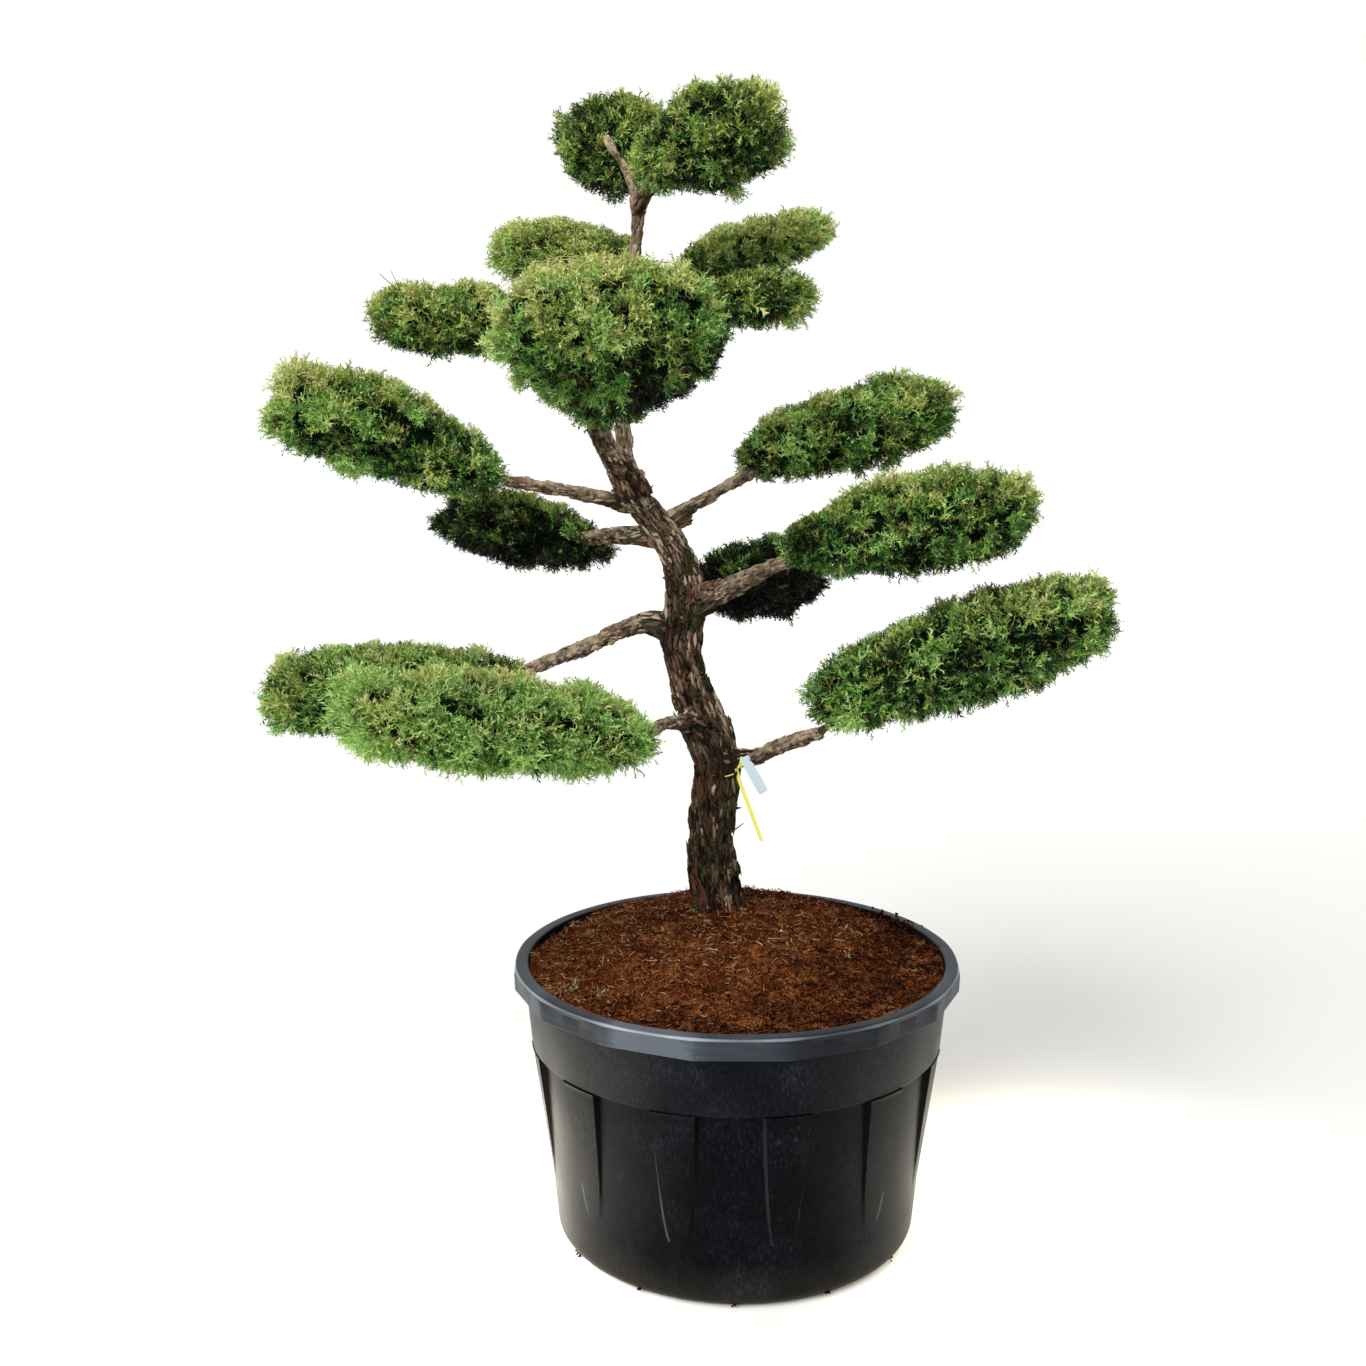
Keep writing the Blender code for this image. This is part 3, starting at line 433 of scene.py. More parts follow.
def potFinish():
    # Polypropylene, injection moulded: near black with a blue cast and a satin skin, dusty
    # enough to pale at a low angle. The collar has faded to slate with chalking in the sun, but
    # its pale slate is partly a painted reflection, with painted highlight and shade panel by
    # panel and a painted highlight on its lip. Handling has left fine upright scuffs, and each
    # buttress has a painted highlight on one flank and painted shade on the other.
    finish = newFinish(
        "mouldedPolypropylene",
        "#0c0e14",
        0.36,
        Specular_IOR_Level=0.038,
        Sheen_Weight=0.03,
        Sheen_Roughness=0.4,
        Sheen_Tint=toLinear("#b8b09a"),
    )
    add = partial(addNode, finish)
    blend = partial(add, "Mix", out=2, data_type="RGBA")
    place = add("TexCoord", out="Object")
    height = add("SeparateXYZ", (place,), "Z")
    across = add("VectorMath", (place, (1, 1, 0)), operation="MULTIPLY")
    away = add("VectorMath", (across,), "Value", operation="LENGTH")
    outer = add("MapRange", (away, 0.3280, 0.3310))
    collar = add("MapRange", (height, 0.4108, 0.4116, 0, outer))
    # scuffs 4 mm wide and 9 mm tall, and dull patches about 80 mm across
    streaks = add("Mapping", {"Vector": place, "Scale": (260, 260, 110)})
    scuffs = add("TexNoise", {"Vector": streaks, "Scale": 1.0, "Detail": 6.0, "Roughness": 0.7})
    clouds = add("TexNoise", {"Vector": place, "Scale": 12.0, "Detail": 4.0})
    dulled = add("Math", (clouds, 0.5, scuffs), operation="MULTIPLY_ADD")
    bodyStops = (0.56, "#010102"), (0.70, "#030408"), (0.84, "#0b0d13"), (1.0, "#1f232b")
    body = add("ValToRGB", (dulled,), stops=bodyStops)
    # the band is duller than the wall below it
    bandAt = add("MapRange", (height, 0.3184, 0.3190, 0, 0.8))
    dullStops = (0.56, "#07080c"), (0.72, "#0e1117"), (0.86, "#191c23"), (1.0, "#30353d")
    dull = add("ValToRGB", (dulled,), stops=dullStops)
    banded = blend({0: bandAt, 6: body, 7: dull})
    # the buttress flanks: a painted highlight (#34373a) on one, painted shade (#010102) on the
    # other
    flank_light = add("Attribute", out="Fac", attribute_name="flank_light")
    flankHighlightAt = add("MapRange", (flank_light, 0, -1))
    flankHighlighted = blend({0: flankHighlightAt, 6: banded, 7: "#34373a"})
    flankShadeAt = add("MapRange", (flank_light, 0, 1, 0, 0.8))
    walls = blend({0: flankShadeAt, 6: flankHighlighted, 7: "#010102"})
    # chalking and peat dust on the collar, in streaks 60 mm long and 8 mm tall; its pale
    # slate is partly a painted reflection, and its panels carry painted highlight and shade
    along = add("Mapping", {"Vector": place, "Scale": (16, 16, 130)})
    streaked = add("TexNoise", {"Vector": along, "Scale": 1.0, "Detail": 6.0, "Roughness": 0.65})
    chalkLit = add("Attribute", out="Fac", attribute_name="chalk_and_light")
    collarTone = add("Math", (streaked, 0.45, chalkLit), operation="MULTIPLY_ADD")
    collarStops = (0.35, "#191c20"), (0.60, "#2d3138"), (0.85, "#40464e"), (1.0, "#575d66")
    collarColour = add("ValToRGB", (collarTone,), stops=collarStops)
    # a painted highlight along the rounded edge, strongest on the palest panels
    lip = add("MapRange", (away, 0.3470, 0.3485, 0, chalkLit))
    lipHighlightAt = add("MapRange", (height, 0.4408, 0.4424, 0, lip))
    lipHighlighted = blend({0: lipHighlightAt, 6: collarColour, 7: "#b0b6bd"})
    colour = blend({0: collar, 6: walls, 7: lipHighlighted})
    # soil dust thrown up on the foot
    dust = add("MapRange", (height, 0.004, 0.075, 0.34, 0))
    dustAt = add("Math", (dust, clouds), operation="MULTIPLY")
    linkTo(finish, "Base Color", blend({0: dustAt, 6: colour, 7: "#4b463a"}))
    linkTo(finish, "Roughness", add("MapRange", (clouds, 0.3, 0.7, 0.28, 0.42)))
    # mould texture, drawn at 2 mm where the real one is finer
    grain = add("TexNoise", {"Vector": place, "Scale": 500.0, "Detail": 2.0})
    relief = add("Math", (scuffs, 0.8, grain), operation="MULTIPLY_ADD")
    bump = add("Bump", {"Height": relief, "Strength": 0.25, "Distance": 0.0005})
    linkTo(finish, "Normal", bump)
    return finish


finishPiece("nurseryPot", makePot(), [potFinish()], ["pot"])


# The limbs' curves, the same as the solids', from the flat cut at the peat up

trunkBends = (  # place and radius
    (-0.024, 0.100, 0.4953, 0.0390),
    (-0.034, 0.098, 0.560, 0.0355),
    (-0.037, 0.095, 0.638, 0.0340),
    (-0.030, 0.088, 0.735, 0.0362),
    (-0.052, 0.082, 0.805, 0.0335),
    (-0.075, 0.076, 0.868, 0.0305),
    (-0.089, 0.068, 0.949, 0.0305),
    (-0.081, 0.061, 1.005, 0.0318),
    (-0.087, 0.056, 1.052, 0.0262),
    (-0.104, 0.052, 1.098, 0.0240),
    (-0.131, 0.050, 1.135, 0.0230),
    (-0.157, 0.050, 1.168, 0.0195),
    (-0.166, 0.052, 1.210, 0.0122),
    (-0.179, 0.059, 1.300, 0.0112),
    (-0.168, 0.065, 1.418, 0.0103),
    (-0.155, 0.061, 1.540, 0.0096),
    (-0.153, 0.060, 1.604, 0.0086),
    (-0.166, 0.060, 1.648, 0.0064),
    (-0.186, 0.057, 1.676, 0.0052),
    (-0.198, 0.062, 1.700, 0.0044),
)
boughBends = {  # height on the trunk, radius at both ends, bends up to the mass
    "low_left_front": (0.806, 0.0098, 0.0082, (-0.112, 0.010, 0.818), (-0.150, -0.050, 0.806)),
    "low_left_back": (
        *(0.956, 0.0155, 0.0095),
        *((-0.147, 0.064, 0.968), (-0.225, 0.060, 0.936), (-0.338, 0.062, 0.889)),
    ),
    "left_dark": (1.106, 0.0140, 0.0104, (-0.199, 0.100, 1.101), (-0.262, 0.142, 1.091)),
    "left_long": (
        *(1.152, 0.0102, 0.0086),
        *((-0.220, 0.030, 1.169), (-0.290, 0.005, 1.184), (-0.350, -0.016, 1.196)),
    ),
    "left_upper": (1.345, 0.0085, 0.0062, (-0.240, 0.042, 1.392), (-0.330, 0.034, 1.424)),
    "back_left_upper": (1.392, 0.0085, 0.0064, (-0.194, 0.104, 1.450), (-0.222, 0.138, 1.496)),
    "right_C": (
        *(0.744, 0.0116, 0.0103),
        *((0.030, 0.054, 0.755), (0.078, 0.034, 0.782), (0.130, 0.010, 0.803)),
    ),
    "right_B": (
        *(0.994, 0.0190, 0.0105),
        *((-0.015, 0.032, 1.027), (0.040, -0.002, 1.058), (0.078, -0.022, 1.077)),
    ),
    "right_back": (0.983, 0.0120, 0.0085, (-0.045, 0.112, 0.996), (0.000, 0.170, 1.003)),
    "right_A": (
        *(1.122, 0.0095, 0.0076),
        *((-0.065, 0.057, 1.154), (-0.010, 0.067, 1.185), (0.040, 0.077, 1.207)),
    ),
    "right_upper": (1.358, 0.0080, 0.0062, (-0.122, 0.052, 1.408), (-0.080, 0.040, 1.438)),
    "right_upper_back": (1.424, 0.0080, 0.0062, (-0.128, 0.100, 1.478), (-0.088, 0.130, 1.508)),
    "front_centre": (
        *(1.166, 0.0190, 0.0150),
        *((-0.176, 0.026, 1.206), (-0.198, -0.012, 1.246), (-0.210, -0.044, 1.278)),
    ),
    "crown_right": (1.588, 0.0072, 0.0056, (-0.141, 0.046, 1.614), (-0.118, 0.026, 1.629)),
}

# The peat: a closed fill with a rough top, and loose fibres and crumbs that lie on it

peat = {
    "edge": 0.434,
    "shoulder": 0.466,
    "top": 0.495,
    "heapCentre": (0.0, 0.060),
    "heapRadius": 0.205,
    "slope": 0.10,  # how far past the heap the peat falls to its edge
    "backDrop": 0.007,
    "sideRise": 0.007,
    "bank": 0.005,  # how high the peat is banked against the trunk
    "lumps": ((0.007, 0, 20), (0.007, 3, 55), (0.0035, 7, 150)),  # height, layer and number
    "clear": 0.0003,
    "steps": 300,
    "rings": 96,
    "fibres": 15600,
    "fibreWidth": 0.017,
    "fibreShares": (0.16, 0.21, 0.26, 0.23, 0.11, 0.03),
    "crumbs": 7000,
    "crumbShares": (0.32, 0.32, 0.24, 0.08, 0.03, 0.01),
    "caught": (12, 0.0019, 0.0045),  # number, spread and size of the bits at a drain hole
    "clods": (118, 124, 131, 96),  # where clods lie by the rim, in degrees from the front
    "clod": (50, (0.010, 0.010, 0.003), 0.006),  # the same of the crumbs in a clod
    "clodPlace": (0.325, 0.443),
    "fleck": (0.071, 0.0),
    "fleckSize": 0.0065,
    "seed": 7,
}
litterColours = {  # dealt out by fibre and crumb
    "peatDark": "#150702",
    "peatBrown": "#40200f",
    "peatRed": "#6c3618",
    "fibreRust": "#945a35",
    "fibreTan": "#b5865c",
    "fibrePale": "#d8b898",
    "perlite": "#dcd8cc",
}
peatMouth = pot["mouthRadius"] - 0.0011


def peatHeight(x, y):
    away = math.hypot(x - peat["heapCentre"][0], y - peat["heapCentre"][1])
    if away < peat["heapRadius"]:
        drop = (peat["top"] - peat["shoulder"]) * (away / peat["heapRadius"]) ** 2
        level = peat["top"] - drop
    else:
        beyond = clamp((away - peat["heapRadius"]) / peat["slope"])
        ease = beyond * beyond * (3 - 2 * beyond)
        back = clamp(y / 0.15) * peat["backDrop"]
        side = clamp(abs(x) / 0.30) * peat["sideRise"]
        level = peat["shoulder"] + (peat["edge"] + side - back - peat["shoulder"]) * ease
    foot = math.hypot(x - trunkBends[0][0], y - trunkBends[0][1]) - trunkBends[0][3]
    level += peat["bank"] * math.exp(-max(0, foot) / 0.010)
    for height, layer, number in peat["lumps"]:
        level += height * noise.noise(Vector((x, y, layer)) * number)
    return level


def makePeat():
    bm = bmesh.new()
    inset, rings = pot["wall"] + peat["clear"], peat["rings"]
    outline = [
        *((peatMouth * i / rings, 0, peat["top"]) for i in range(rings + 1)),
        (pot["bandFootRadius"] - inset, 0, pot["bandFoot"] + pot["wall"]),
        (pot["wallTopRadius"] - inset, 0, pot["wallTop"]),
        (pot["wallFootRadius"] - inset - 0.002, 0, pot["cornerRadius"]),
        (pot["wallFootRadius"] - pot["cornerRadius"], 0, inset),
        (0, 0, inset),
    ]
    points, edges = chain(bm, outline)
    spinRound(bm, points + edges, peat["steps"])
    for vert in bm.verts:
        if vert.co.z > pot["bandFoot"] + 0.05:
            vert.co.z = peatHeight(vert.co.x, vert.co.y)
    return meshFrom("peatFill", bm)


def peatFinish():
    # Sphagnum peat, milled and damp: a dull red-brown felt of short fibres with dark pits.
    finish = newFinish("milledPeat", "#5a2a14", 0.95, Specular_IOR_Level=0.05)
    add = partial(addNode, finish)
    place = add("TexCoord", out="Object")
    # fibres about 3 mm apart, in damp and dry patches about 50 mm across
    fibres = {"Vector": place, "Scale": 330.0, "Detail": 4.0, "Distortion": 1.2}
    felt = add("TexNoise", fibres)
    patches = add("TexNoise", {"Vector": place, "Scale": 20.0, "Detail": 3.0})
    mixed = add("Math", (patches, 0.6, felt), operation="MULTIPLY_ADD")
    stops = (0.5, "#160601"), (0.70, "#3c1a0a"), (0.86, "#6b3a1c"), (1.0, "#9a6436")
    linkTo(finish, "Base Color", add("ValToRGB", (mixed,), stops=stops))
    linkTo(finish, "Normal", add("Bump", {"Height": felt, "Strength": 0.9, "Distance": 0.002}))
    return finish


def scatterOnPeat(count, rng):
    spots, tilts = [], []
    for _ in range(count):
        away = peatMouth * 0.992 * math.sqrt(rng.random())
        turn = rng.uniform(0, fullTurn)
        x, y = away * math.cos(turn), away * math.sin(turn)
        spots.append((x, y, peatHeight(x, y)))
        tilts.append((rng.gauss(0, 1), rng.gauss(0, 1), rng.gauss(0, 0.32)))
    return np.array(spots), unit(np.array(tilts))


def fibreShape(bend):
    bm = bmesh.new()
    bmesh.ops.create_cone(bm, cap_ends=False, segments=3, radius1=0.045, radius2=0.02, depth=1)
    long = [e for e in bm.edges if e.calc_length() > 0.9]
    bmesh.ops.subdivide_edges(bm, edges=long, cuts=1)
    for vert in bm.verts:
        vert.co.x += bend * (0.25 - vert.co.z**2)
    return shapeOf(bm)


def crumbShape(seed):
    bm = bmesh.new()
    bmesh.ops.create_icosphere(bm, subdivisions=1, radius=0.5)
    rng = random.Random(seed)
    for vert in bm.verts:
        vert.co *= rng.uniform(0.7, 1.2)
    return shapeOf(bm)


def litterTints(spots, dice, shares):
    # one colour lower off the root ball, and lower again towards the right, where the darkening
    # is painted shade; dry and pale on top of the root ball
    tints = dice.choice(6, len(spots), p=shares)
    off = np.hypot(spots[:, 0] - peat["heapCentre"][0], spots[:, 1] - peat["heapCentre"][1])
    # darker towards the right, along +x: painted shade
    damp = (off / peat["heapRadius"] - 0.9) * 1.4 + 3.2 * spots[:, 0]
    damp += dice.normal(0, 0.3, len(spots))
    return np.clip(tints - (damp > 0.3) - (damp > 0.9), 0, 5)


def makeLitter():
    rng = random.Random(peat["seed"])
    dice = np.random.default_rng(peat["seed"])
    finishes = newFinishes(litterColours, 0.95, 0.08)
    fibres, crumbs = [], []
    for bend in (-0.5, -0.2, 0.25, 0.6):
        count = peat["fibres"] // 4
        spots, ways = scatterOnPeat(count, rng)
        lengths = dice.uniform(0.005, 0.02, count)
        widths = np.full(count, peat["fibreWidth"])
        frames = framesAlong(ways, lengths, dice.uniform(0, 6.3, count), widths)
        spots[:, 2] += dice.uniform(-0.001, 0.003, count)
        tints = litterTints(spots, dice, peat["fibreShares"])
        fibres.append((fibreShape(bend), spots, frames, tints))
    finishPiece("peatFibres", joinCopies("peatFibres", fibres), finishes)
    for seed in range(4):
        count = peat["crumbs"] // 4
        spots, ways = scatterOnPeat(count, rng)
        lengths = dice.uniform(0.0015, 0.0045, count) * (1 + (dice.random(count) < 0.06))
        frames = framesAlong(ways, lengths, dice.uniform(0, 6.3, count), lengths * 0.8)
        tints = litterTints(spots, dice, peat["crumbShares"])
        crumbs.append((crumbShape(seed), spots, frames, tints))
    # bits caught at the drain holes, clods by the rim and one grain of perlite
    strays = []
    holes = [drainHole(i)[1] for i in range(pot["holes"])]
    clods = [facing(angle, *peat["clodPlace"]) for angle in peat["clods"]]
    for places, (number, spread, size) in ((holes, peat["caught"]), (clods, peat["clod"])):
        spots = np.repeat(np.array(places), number, axis=0)
        strays.append((spots + dice.normal(0, spread, spots.shape), size, 0))
    fleck = (*peat["fleck"], peatHeight(*peat["fleck"]) + 0.002)
    strays.append((np.array([fleck]), peat["fleckSize"], 6))
    for spots, size, tint in strays:
        lengths = size * dice.uniform(0.7, 1.2, len(spots))
        ways = unit(dice.normal(0, 1, (len(spots), 3)))
        frames = framesAlong(ways, lengths, np.zeros(len(spots)), lengths * 0.8)
        tints = tint + (tint == 0) * dice.integers(0, 2, len(spots))
        crumbs.append((crumbShape(tint), spots, frames, tints))
    finishPiece("peatCrumbs", joinCopies("peatCrumbs", crumbs), finishes)


finishPiece("peatFill", makePeat(), [peatFinish()], ["peat"])
makeLitter()


# The limbs: trunk and boughs in one skin of bark, and loose flakes that peel from it

bark = {
    "voxel": 0.00225,
    "spacing": 0.006,
    "below": 0.012,  # how far the foot goes on below the top of the peat
    "swell": 0.40,  # how much a bough thickens where it leaves the trunk
    "swellLength": 0.020,
    "flare": 0.005,
    "flareHeight": 0.045,
    "plate": (0.0150, 0.038),  # width and length
    "strip": (0.0062, 0.018),
    "relief": 0.0075,
    "sag": 0.0060,  # how deep the broad hollows of the trunk are
    "sagSize": 0.028,
    "girth": 0.034,  # the trunk's radius, where the bark is old
    "oldBark": (0.045, 0.022),  # how far that bark runs up a bough, and how soon it ends
    "flakes": 10500,
    "flake": (0.0042, 0.0017, 0.0150),  # width, thickness and length
    "steps": (0.24, 0.38, 0.50, 0.62, 0.74),  # the tones at which a flake's colour changes
    "stains": (  # place, radius, share of the flakes and their colour: 6 is rust, 7 is moss
        ((-0.058, 0.070, 0.705), 0.026, 0.7, 6),
        ((-0.064, 0.080, 0.535), 0.034, 0.6, 6),
        ((-0.080, 0.046, 0.900), 0.026, 0.4, 6),
        ((-0.006, 0.068, 0.640), 0.060, 0.4, 7),
    ),
    # the lowest right bough's root lies in the shade: place, radius and palest colour
    "darkRoot": ((-0.014, 0.046, 0.746), 0.030, 1),
    "seed": 11,
}
flakeColours = {  # from the damp foot of a crack to a bleached strip, then fresh and mossy
    "barkBlack": "#130c07",
    "barkDark": "#291b12",
    "barkBrown": "#443123",
    "barkGrey": "#655041",
    "barkPale": "#8a745e",
    "barkBleached": "#baa892",
    "barkRust": "#5f3a2a",
    "barkMoss": "#3a4027",
}
stubs = (  # foot, end, radius: the pruned stub and two knots
    ((-0.118, 0.046, 1.122), (-0.078, 0.040, 1.131), 0.0070),
    ((-0.024, 0.076, 0.672), (-0.002, 0.070, 0.676), 0.0095),
    ((-0.020, 0.088, 0.556), (0.004, 0.082, 0.562), 0.0120),
)
deadTwigs = (  # foot, end, radius at the foot
    ((-0.010, 0.078, 0.622), (0.013, 0.064, 0.644), 0.0018),
    ((-0.480, 0.010, 1.450), (-0.532, 0.000, 1.498), 0.0014),
    ((-0.500, 0.006, 1.468), (-0.514, -0.004, 1.502), 0.0010),
)


def smoothPath(rows, spacing):
    rows = [Vector(row) for row in rows]
    ends = [2 * rows[0] - rows[1], *rows, 2 * rows[-1] - rows[-2]]
    path = []
    for a, b, c, d in zip(ends, ends[1:], ends[2:], ends[3:]):
        steps = max(1, round((c - b).xyz.length / spacing))
        for i in range(steps):
            t = i / steps
            curve = (2 * b) + (c - a) * t + (2 * a - 5 * b + 4 * c - d) * t * t
            path.append((curve + (3 * b - a - 3 * c + d) * t**3) / 2)
    return [*path, rows[-1]]


def trunkAt(height):
    for low, high in zip(trunkPath, trunkPath[1:]):
        if low.z <= height <= high.z:
            return low.lerp(high, (height - low.z) / (high.z - low.z))


def boughPath(name):
    height, root, tip, *bends = boughBends[name]
    points = [trunkAt(height).xyz, *map(Vector, bends)]
    reach = [0.0]
    for a, b in zip(points, points[1:]):
        reach.append(reach[-1] + (b - a).length)
    rows = [(*p, root + (tip - root) * r / reach[-1]) for p, r in zip(points, reach)]
    return smoothPath(rows, bark["spacing"])


def limbFrames(path):
    frames, side = [], None
    for i in range(len(path)):
        ahead = path[min(i + 1, len(path) - 1)].xyz
        along = (ahead - path[max(i - 1, 0)].xyz).normalized()
        side = side or along.orthogonal()
        side = (side - along * side.dot(along)).normalized()
        frames.append((side, along.cross(side)))
    return frames


trunkPath = smoothPath(trunkBends, bark["spacing"])
boughPaths = {name: boughPath(name) for name in boughBends}
limbPaths = [trunkPath, *boughPaths.values()]


def limbCurves():
    curve = bpy.data.curves.new("limbs", "CURVE")
    curve.dimensions = "3D"
    curve.bevel_depth = 1.0
    curve.bevel_resolution = 5
    curve.use_fill_caps = True
    paths = [[trunkPath[0] - Vector((0, 0, bark["below"], 0)), *trunkPath]]
    for path in boughPaths.values():
        rows = [row.copy() for row in path]
        for row in rows:
            gap = max(0, min((row.xyz - t.xyz).length - t.w for t in trunkPath[::3]))
            row.w *= 1 + bark["swell"] * math.exp(-gap / bark["swellLength"])
        paths.append(rows)
    for start, end, radius in stubs:
        a, b = Vector((*start, radius * 1.35)), Vector((*end, radius))
        paths.append([a.lerp(b, i / 4) for i in range(5)])
    for rows in paths:
        line = curve.splines.new("POLY")
        line.points.add(len(rows) - 1)
        for point, row in zip(line.points, rows):
            point.co = (*row.xyz, 1)
            point.radius = row.w
    return settled(settled(curve), REMESH={"mode": "VOXEL", "voxel_size": bark["voxel"]})


def barkPlates(wrap, run, size, layer):
    # how deep in a crack between two plates it is, and a chance value of the plate's own
    wide, long = size
    spot = Vector((wrap.x / wide, wrap.y / wide, run / long + layer))
    distances, centres = noise.voronoi(spot + 0.45 * noise.noise_vector(spot * 0.8))
    own = noise.noise(centres[0] * 3.7 + Vector((5, 2, 8)))
    return distances[1] - distances[0], clamp(0.5 + 0.9 * own)


def carveBark(mesh):
    # pushes every point in or out by the bark's relief, and keeps what the finish reads
    rows, axes = [], []
    for number, path in enumerate(limbPaths):
        run = 0.0
        for i, (row, frameHere) in enumerate(zip(path, limbFrames(path))):
            run += (row - path[i - 1]).xyz.length if i else 0.0
            rows.append((row, run, number))
            axes.append(frameHere)
    tree = kdtree.KDTree(len(rows))
    for i, (row, _, _) in enumerate(rows):
        tree.insert(row.xyz, i)
    tree.balance()
    bm = bmesh.new()
    bm.from_mesh(mesh)
    bmesh.ops.smooth_vert(
        bm, verts=bm.verts, factor=0.5, use_axis_x=True, use_axis_y=True, use_axis_z=True
    )
    bm.normal_update()
    kept = {name: [] for name in ("grain", "heading", "outward", "crack", "tint", "girth")}
    moves = []
    for vert in bm.verts:
        near = tree.find_n(vert.co, 8)
        _, index, _ = min(near, key=lambda n: abs(n[2] - rows[n[1]][0].w))
        row, run, number = rows[index]
        off = vert.co - row.xyz
        side, across = axes[index]
        turn = math.atan2(off.dot(across), off.dot(side))
        radius = row.w
        shift = Vector((number * 7.3, number * 3.1, 0))  # each limb has its own pattern
        wrap = Vector((math.cos(turn) * radius, math.sin(turn) * radius, run)) + shift
        size = min(1, 0.22 + radius / 0.042)
        narrow = 0.55 + 0.45 * size
        plate, strip = ([length * narrow for length in bark[key]] for key in ("plate", "strip"))
        crack, own = barkPlates(wrap, run, plate, 0)
        nick, fleck = barkPlates(wrap, run, strip, 40)
        crack = max(0, 1 - crack / 0.26) * size
        nick = max(0, 1 - nick / 0.22) * size
        push = bark["relief"] * size * (0.8 * own + 0.5 * fleck - 0.6 * crack - 0.35 * nick - 0.4)
        push += bark["sag"] * size * noise.noise(vert.co / bark["sagSize"])
        if number == 0:
            above = max(0.0, vert.co.z - trunkBends[0][2])
            flare = bark["flare"] * math.exp(-above / bark["flareHeight"])
            push += flare * (0.9 + 0.5 * math.cos(4 * turn + 0.6))
            push += 0.04 * radius * math.cos(3 * turn + 9 * row.z) * min(1, radius / 0.03)
        else:  # the trunk's older bark runs a little way up each bough
            start, fade = bark["oldBark"]
            radius += (bark["girth"] - radius) * math.exp(-max(0, run - start) / fade)
        moves.append(push)
        # facing up: the tint below is painted lighter on the upper side of each limb, as painted
        # light from above
        facingUp = (side * math.cos(turn) + across * math.sin(turn)).z
        kept["grain"].append(wrap)
        kept["heading"].append(side.cross(across))
        kept["outward"].append(vert.normal.copy())
        kept["crack"].append(min(1, 0.9 * crack + 0.5 * nick))
        kept["tint"].append(clamp(0.6 * own + 0.4 * fleck + 0.28 * facingUp))
        kept["girth"].append(min(1, radius / bark["girth"]))
    for vert, push in zip(bm.verts, moves):
        vert.co += vert.normal * push
    bm.to_mesh(mesh)
    bm.free()
    for name, values in kept.items():
        isVector = isinstance(values[0], Vector)
        layer = mesh.attributes.new(name, "FLOAT_VECTOR" if isVector else "FLOAT", "POINT")
        layer.data.foreach_set("vector" if isVector else "value", np.array(values).ravel())
    mesh.shade_smooth()
    return mesh


def flakeShape(seed):
    # a thin strip of bark with pointed ends, the upper one curled off the wood
    rng = random.Random(seed)
    bm = bmesh.new()
    low = bm.verts.new((rng.uniform(-0.3, 0.3), -0.6, -0.5))
    high = bm.verts.new((rng.uniform(-0.3, 0.3), rng.uniform(0.2, 1.2), 0.5))
    rings = []
    for z, wide in ((-0.22, rng.uniform(0.35, 0.5)), (0.2, rng.uniform(0.3, 0.5))):
        skew = rng.uniform(-0.15, 0.15)
        top = 0.7 if z > 0 else 0.3
        corners = ((-wide, -0.9), (wide, -0.9), (wide * 0.8, top), (-wide * 0.8, top))
        rings.append([bm.verts.new((x + skew, y, z)) for x, y in corners])
    for i in range(4):
        j = (i + 1) % 4
        bm.faces.new((low, rings[0][j], rings[0][i]))
        bm.faces.new((rings[0][i], rings[0][j], rings[1][j], rings[1][i]))
        bm.faces.new((rings[1][i], rings[1][j], high))
    return shapeOf(bm)


def readPoints(mesh, name, size=1):
    values = np.empty(len(mesh.vertices) * size)
    layer = mesh.attributes[name].data
    layer.foreach_get("value" if size == 1 else "vector", values)
    return values if size == 1 else values.reshape(-1, size)


